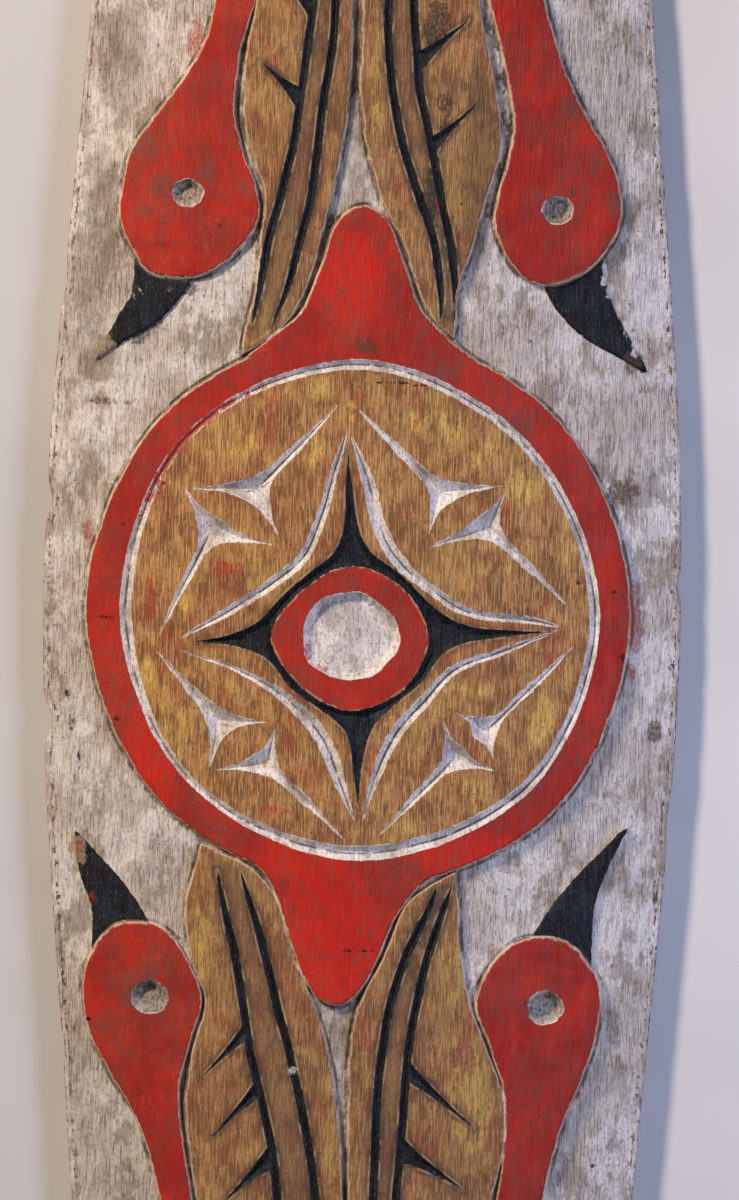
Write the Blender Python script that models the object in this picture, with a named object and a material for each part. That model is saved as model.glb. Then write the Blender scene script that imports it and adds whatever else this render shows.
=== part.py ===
"""A long ceremonial shield, carved from one plank of light wood and painted.

The board lies on its back with its face up. Its length runs along Y, its width along X, and the rim of its
back is on Z = 0. The carving is drawn in hundredths of the half width (x) and of the half length (y), so that
it follows the board.
"""
import math

import bpy
import numpy as np
from mathutils import Vector
from mathutils.geometry import delaunay_2d_cdt

# Board, in metres
LENGTH = 1.340
WIDTH = 0.340
EDGE_THICKNESS = 0.013
EDGE_CHAMFER = 0.002
CROWN = 0.034
MIDDLE_THICKNESS = 0.010

# Hollowed back and the bar for the hand
RIM_WIDTH = 0.024
END_BLOCK = 0.140
HOLLOW_SQUARENESS = 6
GRIP_LENGTH = 0.150
GRIP_WIDTH = 0.030
GRIP_THICKNESS = 0.013
GRIP_CLEARANCE = 0.003
GRIP_FLARE = 0.005
GRIP_BEND = 0.6
GRIP_ROUNDNESS = 0.7

# Carving of the face
RELIEF = 0.0040
BEAK_RELIEF = 0.0022
WALL_RUN = 0.0014
LEAF_GROOVE_WIDTH = 0.0044
RING_GROOVE_DEPTH = 0.0022
STAR_DEPTH = 0.0026
STAR_GROOVE_DEPTH = 0.0030
CHIP_DEPTH = 0.0045
BARB_DEPTH = 0.0020
BARB_WAIST = 0.4
BARB_NARROW = 0.42
EYE_DEPTH = 0.0050
EYE_WIDTH = 0.0170
PIT_WIDTH = 0.0510
PIT_FLOOR = 0.5
PIT_DEPTH = 0.0060

# Steepness of the cuts, as a fall for each metre in from their edge
GROOVE_SLOPE = 0.9
CHIP_SLOPE = 1.0
PIT_SLOPE = 1.4

# Fineness of the faceted solid: most turn (degrees) and run (metres) between two points of a path, the grid,
# steps to each span of a curve, sides and bends of the bar, points round an oval and round the hollow, and
# the shortest edge and half width that are kept
TURN = 12.0
RUN = 0.022
GRID = 0.026
SPAN_STEPS = 8
GRIP_SIDES = 14
GRIP_STEPS = 6
OVAL_SIDES = 14
HOLLOW_POINTS = 60
MERGE = 0.0004
THINNEST_GROOVE = 0.0001

HALF_LENGTH = LENGTH / 2
HALF_WIDTH = WIDTH / 2

# Half of the board's outline, from its middle to its tip: share of the half length, share of the half width
BOARD = [(0, 100), (8, 99.4), (16, 97.9), (24, 95.5), (32, 92.9), (40, 90.3), (48, 87.7), (60, 82.8),
         (72, 76), (82, 67), (90, 54.5), (96, 36), (99.2, 16), (100, 0)]
# How flat the bow runs along the board before it falls to the ends
BOW_FLATNESS = 4

# Round outlines about the middle of the medallion: centre, then the radius at equal steps from +X towards +Y,
# in hundredths of the half width
MEDALLION = (-1.3, -0.9)
RING_OUTER = [84.9, 86.0, 86.9, 85.9, 84.8, 85.3, 85.8, 87.0]
RING_INNER = [75.4, 74.6, 78.0, 77.0, 74.2, 75.0, 77.3, 77.4]
DISC = [72.5, 72.0, 75.0, 75.0, 70.6, 73.0, 73.0, 74.0]
EYE_RING_CENTRE = (-3.5, -3.0)
EYE_RING = [24.4, 22.4, 22.2, 20.9, 24.6, 21.5, 22.6, 22.8]
PIT_CENTRE = (-3.5, -2.9)
# How wide a share of the half length is, beside a share of the half width, on the board as drawn
DRAWN_RATIO = 0.254

# The medallion's two tongues, each from the ring's left to its right
TONGUES = [
    [(-37, 19), (-28.8, 20.7), (-20.5, 22.5), (-14.5, 26), (-9.5, 29.7), (-2.2, 31), (5, 30.1), (10.5, 27),
     (16, 23.2), (24, 20.9), (34, 19)],
    [(-36, -20), (-27, -22.3), (-21.5, -26), (-15.7, -29.9), (-9.8, -31.7), (-4.8, -31.9), (0.5, -31),
     (6, -28.6), (11, -25.4), (19, -22.6), (34, -20)]]

# Birds: the neck from the board's end to the head as (y, left x, right x), the round of the head from left to
# right, the beak from its left root to the tip and on to its right root, and the eye
BIRDS = [
    ([(83.5, -4, 4), (77, -15, -4.5), (70, -24.5, -14.5), (62, -34.5, -23.5), (54, -42.5, -31),
      (47.5, -48.5, -36.4), (44, -51.7, -40.4), (41, -58.1, -42.3), (38, -67.2, -42.4), (35, -74.8, -39.5),
      (32, -77.2, -35.1), (29.5, -77, -35)],
     [(-68.3, 25.8), (-58.9, 25.3), (-48.3, 25.9)],
     [(-72, 27.5), (-73.2, 23.9), (-77, 22.2), (-84.1, 18.9)],
     [(-84.1, 18.9), (-76.7, 20.2), (-65, 22), (-50, 27)], (-56.5, 31.9)),
    ([(83.5, -4, 4), (77, 4.5, 15.5), (70, 14.5, 26.5), (62, 23.5, 37), (54, 31, 46.5), (47.5, 36.6, 53.4),
      (44, 40.3, 57.4), (41, 43, 62), (38, 45.1, 68.6), (35, 43.5, 75.2), (32, 40.3, 78.6),
      (29.5, 39.8, 77.4)],
     [(48.3, 25.8), (57.8, 25.2), (68, 26.4)],
     [(53, 27), (58.2, 23.8), (67, 21.4), (79.1, 19.7), (87.4, 18.6)],
     [(87.4, 18.6), (82.9, 20.5), (75.6, 24), (72, 28)], (58.8, 31.1)),
    ([(-86, -5, 5), (-78, -23.5, -13.5), (-70, -36, -26.5), (-62, -46.5, -37), (-54, -54.5, -45),
      (-47.5, -59.7, -50.1), (-44, -63.4, -52.4), (-41, -68.2, -54.3), (-38, -75.5, -54.3),
      (-35, -82, -51.2), (-32, -85, -48), (-29.5, -84.2, -50.9)],
     [(-77, -26.4), (-68.2, -25.8), (-60, -26.4)],
     [(-82, -29), (-82.4, -24.9), (-86.3, -21.9), (-88.4, -18.9)],
     [(-88.4, -18.9), (-80.9, -20.8), (-71.2, -23.6), (-60, -28)], (-64.0, -31.7)),
    ([(-86, -5, 5), (-78, 12.5, 23), (-70, 24, 35), (-62, 33.5, 45), (-54, 40.5, 53), (-47.5, 45.3, 59),
      (-44, 47, 62), (-41, 47.6, 65.4), (-38, 46.3, 70.4), (-35, 42.3, 74.3), (-32, 37.9, 76.3),
      (-29.5, 40.5, 74.8)],
     [(48, -27.2), (56, -26.5), (65.5, -26.9)],
     [(52, -28), (60.6, -24.3), (70, -21.4), (83.6, -17.9)],
     [(83.6, -17.9), (77.6, -20.9), (73.6, -24), (73, -29)], (59.2, -32.0))]
# How far an eye is longer across the board than along it
EYE_STRETCH = 1.1

# Leaves, from the tip beside the medallion to the tip near the board's end: the two tips, then rows of
# (y, outer edge, outer groove, inner groove, inner edge), then barbs from the outer groove as
# (y, y, tip x, tip y)
LEAVES = [
    ((-38.4, 19.3), (-7, 75),
     [(21.5, -37.2, -36, -29.5, -26.4), (24, -34.8, -33.8, -25.5, -20.2), (28, -33.2, -31.2, -21.5, -15.5),
      (32, -32.3, -27.2, -17.9, -11.6), (36, -37.6, -23.6, -16.2, -8.8), (40, -39.2, -21.7, -14.3, -7),
      (44, -38.1, -19.7, -12, -6.5), (47.5, -35.4, -18.2, -11.5, -6.5), (54, -29.3, -15.8, -11.2, -6.3),
      (62, -21.8, -13.2, -10, -5.8), (69, -13.6, -10.4, -8.8, -5.6)],
     [(38.4, 40.3, -34.4, 42.4), (45.6, 47.4, -31, 49.9), (52.6, 54.2, -25, 56.6), (59.6, 61, -18, 63.2)]),
    ((27, 20.8), (3, 75),
     [(22, 27.2, 27.1, 22.8, 21.5), (24, 27.4, 27.3, 22.9, 17.2), (28, 31.8, 25.7, 20.7, 11.4),
      (32, 36.2, 22.1, 15.3, 3.7), (36, 40.4, 19, 10.1, -0.7), (40, 38.8, 15.4, 6.9, -2.9),
      (44, 35.7, 13.8, 5.2, -2.7), (47.5, 32.9, 12.8, 4.9, -2.4), (54, 28.8, 11.8, 4.6, -2.2),
      (62, 21.5, 9.6, 4.4, -1.5), (69, 13.5, 7.6, 4.4, 0.4)],
     [(35.1, 36.5, 33.9, 39.5), (41.5, 43.3, 30.3, 46), (48.5, 50.2, 27, 53), (55.8, 57.4, 21, 60)]),
    ((-48.5, -19.6), (-5, -79),
     [(-21.5, -50.4, -43.6, -36.5, -32.4), (-24, -52.7, -41.7, -33.2, -24.9),
      (-28, -51.5, -37.8, -28.4, -20),
      (-32, -46.4, -35, -24.3, -13), (-36, -50, -32.1, -20, -8.2), (-40, -51.8, -28.2, -16.2, -5.6),
      (-44, -50.2, -24.7, -13.1, -3.9), (-47.5, -48, -23, -11.2, -3.1), (-54, -43, -20.5, -10.2, -2.8),
      (-62, -35, -17, -9, -2.6), (-70, -24.5, -12.5, -7, -2.6)],
     [(-33.4, -34.8, -47.6, -38), (-38, -39.4, -44.4, -42.7), (-42.9, -44.9, -40.6, -47.9),
      (-49.5, -51.2, -37.5, -55), (-56.5, -58, -31, -61.5), (-63, -64.5, -24, -67.5)]),
    ((30.2, -21.4), (5, -79),
     [(-22.6, 30.6, 29.2, 24.6, 22.6), (-24, 31.1, 27.3, 22.9, 15.6), (-28, 32.4, 22.3, 15.7, 9.2),
      (-32, 35.6, 18.9, 10.9, 1.5), (-36, 42, 16.5, 8.5, -1.1), (-40, 46.9, 15.7, 7.3, -1.1),
      (-44, 46.1, 14.7, 6.9, -1.1), (-47.5, 42.6, 13.6, 6.7, -0.8), (-54, 38.6, 12.9, 6.6, -0.6),
      (-62, 31.6, 12, 6.4, -0.2), (-70, 22, 10.5, 6.2, 0.6)],
     [(-36.1, -37.8, 37.9, -41.6), (-42.2, -44.2, 35.1, -46.5), (-49, -51, 31, -54),
      (-56.5, -58.2, 25.5, -61.5), (-63.5, -65, 19, -68)])]

# The sunk star round the eye ring: its four sides, each from one arm's tip to the next
STAR = [
    [(-5.1, 11.6), (-3.5, 8.7), (-1.9, 6.1), (2.2, 3.8), (11.7, 2.1), (22.9, -0.6), (32.7, -1.9),
     (44.9, -2.2), (57.8, -2.3)],
    [(57.8, -2.3), (45, -2.7), (32.1, -3.3), (25.6, -4.1), (18.9, -6.4), (11.2, -8.1), (4.1, -10),
     (1.4, -12.2), (-0.2, -16.3)],
    [(-0.2, -16.3), (-2, -13.1), (-4.4, -10.4), (-12, -8.8), (-21.8, -7), (-29.8, -4.7), (-38, -3.9),
     (-51.6, -3.5)],
    [(-51.6, -3.5), (-41.9, -3), (-32.5, -1.9), (-24.8, 0.2), (-16.2, 2.2), (-8.9, 3.7), (-6.1, 5.7),
     (-5.7, 8.7), (-5.1, 11.6)]]

# Grooves beside the star, each from tip to tip as (x, y, half width in hundredths of the board's half width)
STAR_GROOVES = [
    [(-5.4, 13.7, 0), (-9.2, 10.1, 1.2), (-13.1, 6.5, 1.5), (-18.2, 3.4, 1.6), (-28.4, 1.1, 1.5),
     (-42.9, -1.3, 1.2), (-56.6, -3.3, 0)],
    [(-4.1, 12.8, 0), (0.8, 9.7, 1.7), (4.5, 6.2, 2.2), (10, 3.5, 2.1), (21.2, 0.9, 1.5), (33.9, -0.9, 1.3),
     (52.7, -1.4, 1), (62.8, -1.9, 0)],
    [(62.8, -2, 0), (43.5, -3.9, 1), (28.5, -5.5, 1.4), (19.9, -7.9, 1.7), (11, -10.6, 1.9),
     (5.3, -13.8, 1.5), (1.5, -17.3, 0)],
    [(-56.5, -4.2, 0), (-34.8, -6.1, 1), (-21.1, -8.3, 1.7), (-11.5, -11, 2.2), (-6.6, -13.9, 1.9),
     (-1.4, -17.4, 0)]]

# Three-armed chips round the star: three tips and the middle
CHIPS = [
    [(-8.3, 15.3), (-53.6, 8.6), (-26.4, 4.9), (-33.3, 8.6)],
    [(-55.5, 8.5), (-63.3, -3.1), (-28.3, 4.2), (-47.5, 5.2)],
    [(-3.3, 15.3), (20.3, 5.3), (42.6, 9.2), (23.8, 8.6)],
    [(44.2, 8.9), (20.3, 4.2), (63.6, -0.1), (38.7, 6)],
    [(-64, -4.3), (-46.5, -13.5), (-29.2, -9.8), (-43.9, -9.7)],
    [(-26.6, -10.4), (-44.3, -13.6), (-4.7, -18.8), (-28.6, -13)],
    [(66.2, -3.4), (30, -8.8), (41.7, -12.5), (39.8, -10)],
    [(26.2, -9.6), (6.7, -18.5), (41.8, -13.3), (29, -12.4)]]
# How near to a chip's middle each side comes, and half the width of an arm halfway along it
CHIP_WAIST = 4.9
CHIP_ARM = 1.25


def place(knots):
    """Shares of the half width and half length as metres on the board."""
    return np.array([knot[:2] for knot in knots], float) * (HALF_WIDTH / 100, HALF_LENGTH / 100)


def curve(knots, closed=False):
    """A smooth path through the knots."""
    knots = np.asarray(knots, float)
    if closed:
        knots = np.concatenate([knots[-1:], knots, knots[:2]])
    else:
        knots = np.concatenate([2 * knots[:1] - knots[1:2], knots, 2 * knots[-1:] - knots[-2:-1]])
    path = []
    for a, b, c, d in zip(knots, knots[1:], knots[2:], knots[3:]):
        first = math.dist(a, b) ** 0.5
        second = first + math.dist(b, c) ** 0.5
        third = second + math.dist(c, d) ** 0.5
        t = np.linspace(first, second, SPAN_STEPS, endpoint=False)[:, None]
        ab = ((first - t) * a + t * b) / first
        bc = ((second - t) * b + (t - first) * c) / (second - first)
        cd = ((third - t) * c + (t - second) * d) / (third - second)
        abc = ((second - t) * ab + t * bc) / second
        bcd = ((third - t) * bc + (t - first) * cd) / (third - first)
        path.append(((second - t) * abc + (t - first) * bcd) / (second - first))
    if not closed:
        path.append(knots[-2:-1])
    return np.concatenate(path)


def joined(*paths):
    """One closed loop of open paths that meet at their ends, running anticlockwise."""
    loop = np.concatenate([path[:-1] for path in paths])
    x, y = loop.T
    area = (x * np.roll(y, -1) - np.roll(x, -1) * y).sum()
    return loop if area > 0 else loop[::-1]


def thinned(path, closed):
    """The points of a path that its bends and its long runs need."""
    kept = [0]
    turned = gone = 0.0
    for i in range(1, len(path) - (0 if closed else 1)):
        back = path[i] - path[i - 1]
        ahead = path[(i + 1) % len(path)] - path[i]
        gone += math.hypot(*back)
        cross = back[0] * ahead[1] - back[1] * ahead[0]
        turned += abs(math.degrees(math.atan2(cross, back @ ahead)))
        if turned > TURN or gone > RUN:
            kept.append(i)
            turned = gone = 0.0
    if not closed:
        kept.append(len(path) - 1)
    return path[kept]


def moved_out(loop, by):
    """A closed anticlockwise loop, with each point moved out by a distance."""
    ahead = np.roll(loop, -1, axis=0) - loop
    ahead /= np.hypot(*ahead.T)[:, None]
    behind = np.roll(ahead, 1, axis=0)
    out = ahead + behind
    out /= np.hypot(*out.T)[:, None]
    mitre = np.maximum((out * ahead).sum(axis=1), 0.6)
    return loop + by * np.stack([out[:, 1], -out[:, 0]], axis=1) / mitre[:, None]


def round_loop(centre, radii):
    """A round outline about a centre, from its radii at equal steps."""
    angles = np.arange(len(radii)) * 2 * math.pi / len(radii)
    radii = np.array(radii)
    across, along = radii * np.cos(angles), radii * np.sin(angles) * DRAWN_RATIO
    return curve(place(np.stack([centre[0] + across, centre[1] + along], axis=1)), closed=True)


def oval(centre, width, height):
    """An oval about a centre given in shares, with its size in metres."""
    angles = np.arange(OVAL_SIDES) * 2 * math.pi / OVAL_SIDES
    return place([centre])[0] + np.stack([width / 2 * np.cos(angles), height / 2 * np.sin(angles)], axis=1)


def board_outline():
    """The board's outline, anticlockwise from the middle of its right side."""
    quarter = place([(width, along) for along, width in BOARD])
    mirrored = quarter[1:] * (1, -1)
    side = curve(np.concatenate([mirrored[::-1], quarter, quarter[-2::-1] * (-1, 1)]))
    first = SPAN_STEPS * len(mirrored)
    quarter = thinned(side[first:2 * first + 1], False)
    upper = np.concatenate([quarter, quarter[-2::-1] * (-1, 1)])
    return np.concatenate([upper, upper[-2:0:-1] * (1, -1)])


def half_width_at(y):
    """Half of the board's width at each place along it."""
    side = curve(place([(width, along) for along, width in BOARD]))
    return np.interp(np.abs(y), side[:, 1], side[:, 0])


def bird(neck, head, beak_left, beak_right):
    """The outlines of a neck with its head, and of a beak."""
    left = place([(x, y) for y, x, _ in neck])
    right = place([(x, y) for y, _, x in neck])
    body = joined(curve(np.concatenate([left, place(head), right[::-1]])), np.stack([right[0], left[0]]))
    root = place([beak_right[-1], beak_left[0]])
    return body, joined(curve(place(beak_left)), curve(place(beak_right)), root)


def leaf(near_tip, far_tip, rows):
    """The outline of a leaf and the middle lines of its two grooves."""
    sides = []
    for column in (1, 2, 3, 4):
        knots = [(row[column], row[0]) for row in rows]
        if column in (1, 4):
            knots = [near_tip, *knots, far_tip]
        sides.append(curve(place(knots)))
    outer, outer_groove, inner_groove, inner = sides
    return joined(outer, inner[::-1]), (outer_groove, inner_groove)


def ribbon(path, half_widths):
    """The outline of a groove that follows a path."""
    run = np.gradient(path, axis=0)
    run /= np.hypot(*run.T)[:, None]
    aside = np.stack([run[:, 1], -run[:, 0]], axis=1) * np.asarray(half_widths)[:, None]
    return joined(path + aside, (path - aside)[::-1])


def tapered(path, half_width):
    """Half widths of a groove that narrows to nothing towards its ends."""
    share = np.linspace(0, 1, len(path))
    return half_width * np.clip(np.minimum(share, 1 - share) * 6, 0.02, 1) ** 0.7


def unit(vector):
    """A vector's direction."""
    return vector / math.hypot(*vector)


def chip(first, second, third, middle):
    """The outline of a three-armed chip, and its creases from the middle to its tips."""
    tips = place([first, second, third])
    middle = place([middle])[0]
    sides = []
    for start, end in zip(tips, np.roll(tips, -1, axis=0)):
        out = unit((start + end) / 2 - middle)
        knots = [start, middle + out * CHIP_WAIST * HALF_WIDTH / 100, end]
        for at, tip in ((1, start), (3, end)):
            arm = unit(tip - middle)
            aside = unit(out - (out @ arm) * arm)
            knots.insert(at, (middle + tip) / 2 + aside * CHIP_ARM * HALF_WIDTH / 100)
        sides.append(curve(knots))
    return joined(*sides), [np.stack([middle, (middle + tip) / 2, tip]) for tip in tips]


def barb(groove, near, far, tip):
    """The outline of a thorn-shaped barb that leaves a leaf's outer groove, and its crease."""
    order = np.argsort(groove[:, 1])
    base = np.interp(np.array([near, far]) * HALF_LENGTH / 100, groove[order, 1], groove[order, 0])
    near, far = (np.array([x, share * HALF_LENGTH / 100]) for x, share in zip(base, (near, far)))
    root, tip = (near + far) / 2, place([tip])[0]
    sides = []
    for corner in (near, far):
        waist = root + BARB_WAIST * (tip - root) + BARB_NARROW * (corner - root)
        sides.append(curve([corner, waist, tip]))
    return joined(sides[0], sides[1][::-1], np.stack([far, near])), [curve([root, tip])]


def nearest(path, point):
    """Which point of a path is nearest to a point."""
    return int(np.hypot(*(path - point).T).argmin())


def pit(centre, width, height, depth):
    """A round pit with a sloping wall, as one of the cuts."""
    floor = oval(centre, width * PIT_FLOOR, height * PIT_FLOOR)
    return oval(centre, width, height), None, PIT_SLOPE, depth, [np.concatenate([floor, floor[:1]])]


def carving():
    """What stands up from the ground, as (outline, height), and what is cut in, as
    (outline, island or None, slope, depth, creases)."""
    ring = round_loop(MEDALLION, RING_OUTER)
    raised = [(ring, RELIEF)]
    for knots in TONGUES:
        raised.append((joined(curve(place(knots)), curve(place([knots[-1], knots[0]]))), RELIEF))
    cuts = []
    ring_inner, disc = round_loop(MEDALLION, RING_INNER), round_loop(MEDALLION, DISC)
    cuts.append((ring_inner, disc, GROOVE_SLOPE, RING_GROOVE_DEPTH, [(ring_inner + disc) / 2]))
    for neck, head, beak_left, beak_right, eye in BIRDS:
        body, beak = bird(neck, head, beak_left, beak_right)
        raised += [(body, RELIEF), (beak, BEAK_RELIEF)]
        cuts.append(pit(eye, EYE_WIDTH * EYE_STRETCH, EYE_WIDTH, EYE_DEPTH))
    for near_tip, far_tip, rows, barbs in LEAVES:
        outline, grooves = leaf(near_tip, far_tip, rows)
        raised.append((outline, RELIEF))
        for path in grooves:
            loop = ribbon(path, tapered(path, LEAF_GROOVE_WIDTH / 2))
            cuts.append((loop, None, GROOVE_SLOPE, LEAF_GROOVE_WIDTH, [path]))
        for near, far, *tip in barbs:
            loop, creases = barb(grooves[0], near, far, tip)
            cuts.append((loop, None, GROOVE_SLOPE, BARB_DEPTH, creases))
    eye_ring = round_loop(EYE_RING_CENTRE, EYE_RING)
    channel = moved_out(eye_ring, STAR_DEPTH / CHIP_SLOPE)
    arms = [curve([place(side)[0], channel[nearest(channel, place(side)[0])]]) for side in STAR]
    star = joined(*(curve(place(side)) for side in STAR))
    cuts.append((star, eye_ring, CHIP_SLOPE, STAR_DEPTH, [channel, *arms]))
    for knots in STAR_GROOVES:
        path = curve(place(knots))
        widths = curve([(knot[2], i) for i, knot in enumerate(knots)])[:, 0] * HALF_WIDTH / 100
        loop = ribbon(path, widths.clip(THINNEST_GROOVE))
        cuts.append((loop, None, GROOVE_SLOPE, STAR_GROOVE_DEPTH, [path]))
    for points in CHIPS:
        loop, creases = chip(*points)
        cuts.append((loop, None, CHIP_SLOPE, CHIP_DEPTH, creases))
    cuts.append(pit(PIT_CENTRE, PIT_WIDTH, PIT_WIDTH / EYE_STRETCH, PIT_DEPTH))
    return raised, cuts


def gap(points, path, closed, reach):
    """How far each point is from a path, up to a reach."""
    found = np.full(len(points), reach)
    low, high = path.min(axis=0) - reach, path.max(axis=0) + reach
    near = np.nonzero(((points > low) & (points < high)).all(axis=1))[0]
    start = path if closed else path[:-1]
    run = (np.roll(path, -1, axis=0) if closed else path[1:]) - start
    size = (run ** 2).sum(axis=1) + 1e-18
    for first in range(0, len(near), 4000):
        some = near[first:first + 4000]
        offset = points[some, None] - start
        share = np.clip((offset * run).sum(axis=2) / size, 0, 1)
        away = offset - share[..., None] * run
        found[some] = np.minimum(reach, np.sqrt((away ** 2).sum(axis=2).min(axis=1)))
    return found


def within(points, loop):
    """Whether each point is inside a closed loop."""
    near = np.nonzero(((points > loop.min(axis=0)) & (points < loop.max(axis=0))).all(axis=1))[0]
    x, y = points[near].T
    crossed = np.zeros(len(near), bool)
    for (ax, ay), (bx, by) in zip(loop, np.roll(loop, -1, axis=0)):
        between = (ay > y) != (by > y)
        crossed ^= between & (x < ax + (y - ay) * (bx - ax) / (by - ay if by != ay else 1))
    inside = np.zeros(len(points), bool)
    inside[near] = crossed
    return inside


def depth_in(points, loop, reach):
    """How deep each point is inside a loop, below zero outside it."""
    return gap(points, loop, True, reach) * np.where(within(points, loop), 1, -1)


def face_height(points, raised, cuts):
    """Height of the carved face at each point."""
    x, y = points.T
    across = np.clip(x / np.maximum(half_width_at(y), 0.001), -1, 1)
    along = np.clip(np.abs(y) / HALF_LENGTH, 0, 1)
    ground = EDGE_THICKNESS + CROWN * (1 - along ** BOW_FLATNESS) * (1 - across ** 2)
    rise = np.zeros(len(points))
    for loop, high in raised:
        rise = np.maximum(rise, high * np.clip(1 + depth_in(points, loop, 2 * WALL_RUN) / WALL_RUN, 0, 1))
    cut = np.zeros(len(points))
    for loop, island, slope, depth, _ in cuts:
        deep = depth_in(points, loop, 2 * depth / slope)
        if island is not None:
            deep = np.minimum(deep, -depth_in(points, island, 2 * depth / slope))
        cut = np.maximum(cut, np.clip(slope * deep, 0, depth))
    return ground + rise - cut


def back_share(points):
    """How far the hollow has opened at each point: 1 in its middle, 0 at its edge and on the rim."""
    x, y = points.T
    across = x / np.maximum(half_width_at(y) - RIM_WIDTH, 0.001)
    along = y / (HALF_LENGTH - END_BLOCK)
    return np.clip(1 - across ** 2 - along ** HOLLOW_SQUARENESS, 0, 1)


def back_height(points):
    """Height of the hollowed back at each point."""
    return (EDGE_THICKNESS + CROWN - MIDDLE_THICKNESS) * back_share(points)


def hollow_edge(share):
    """The line on which the hollow has opened by a share, anticlockwise."""
    angles = np.arange(HOLLOW_POINTS) * 2 * math.pi / HOLLOW_POINTS
    cos, sin = np.cos(angles), np.sin(angles)
    along = np.sign(sin) * (np.abs(sin) * (1 - share) ** 0.5) ** (2 / HOLLOW_SQUARENESS)
    along *= HALF_LENGTH - END_BLOCK
    across = cos * (1 - share) ** 0.5 * (half_width_at(along) - RIM_WIDTH)
    return np.stack([across, along], axis=1)


def grip_rings():
    """The rings of the bar for the hand, from the hollow's roof at -Y, along, and back to the roof at +Y."""
    angles = np.arange(GRIP_SIDES) * 2 * math.pi / GRIP_SIDES
    flat, deep = (np.sign(v) * np.abs(v) ** GRIP_ROUNDNESS for v in (np.cos(angles), np.sin(angles)))
    roof = EDGE_THICKNESS + CROWN - MIDDLE_THICKNESS
    level = GRIP_CLEARANCE + GRIP_THICKNESS / 2
    bend = GRIP_BEND * (roof - level)
    rings = []
    for turn in np.linspace(0, math.pi / 2, GRIP_STEPS):
        flare = GRIP_FLARE * (1 - math.sin(turn)) ** 2
        wide = (GRIP_WIDTH / 2 + flare) * flat
        thick = (GRIP_THICKNESS / 2 + flare) * deep
        y = -GRIP_LENGTH / 2 + bend * (1 - math.cos(turn)) + thick * math.cos(turn)
        z = level + bend * (1 - math.sin(turn)) + thick * math.sin(turn)
        rings.append(np.stack([wide, y, z], axis=1))
    first = rings[0].copy()
    first[:, 2] = back_height(first[:, :2])
    rings = [first, *rings]
    return rings + [ring * (1, -1, 1) for ring in rings[::-1]]


def grid(border, rows, spacing):
    """Points of a staggered grid of nearly even triangles, inside a border and clear of every row."""
    low, high = border.min(axis=0), border.max(axis=0)
    points = []
    for j, y in enumerate(np.arange(low[1] + spacing / 2, high[1], spacing * 0.87)):
        xs = np.arange(-(high[0] // spacing) * spacing, high[0], spacing) + (j % 2) * spacing / 2
        points.append(np.stack([xs, np.full(len(xs), y)], axis=1))
    points = np.concatenate(points)
    points = points[depth_in(points, border, spacing) > spacing * 0.5]
    for path, closed in rows:
        points = points[gap(points, path, closed, spacing) > spacing * 0.45]
    return points


def sheet(border, rows, extra, holes=()):
    """Triangles over the area inside a border, with an edge along every row. Gives its points, its triangles
    and, for the border and each hole in turn, which of its points they are."""
    points, edges, spans = [], [], []
    for path, closed in [(border, True), *((hole, True) for hole in holes), *rows]:
        first = len(points)
        points += [Vector(p) for p in path]
        edges += [(first + i, first + i + 1) for i in range(len(path) - 1)]
        if closed:
            edges.append((first + len(path) - 1, first))
        spans.append(range(first, len(points)))
    points += [Vector(p) for p in extra]
    made, _, faces, sources, _, _ = delaunay_2d_cdt(points, edges, [], 0, MERGE, True)
    made = np.array(made)
    faces = np.array(faces)
    middles = made[faces].mean(axis=1)
    keep = within(middles, border)
    for hole in holes:
        keep &= ~within(middles, hole)
    places = {source: i for i, given in enumerate(sources) for source in given}
    return made, faces[keep], [[places[i] for i in span] for span in spans[:1 + len(holes)]]


def band(lower, upper):
    """Faces between two loops of as many points, which are given anticlockwise from above."""
    size = len(lower)
    return [(lower[i], lower[(i + 1) % size], upper[(i + 1) % size], upper[i]) for i in range(size)]


def carved_rows(raised, cuts):
    """The lines that the face's triangles follow: feet and tops of walls, edges and creases of cuts."""
    rows = []
    for loop, _ in raised:
        top = thinned(loop, True)
        rows += [(top, True), (moved_out(top, WALL_RUN), True)]
    for loop, island, _, _, creases in cuts:
        rows.append((thinned(loop, True), True))
        if island is not None:
            rows.append((thinned(island, True), True))
        rows += [(thinned(crease, False), False) for crease in creases]
    return rows


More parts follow.
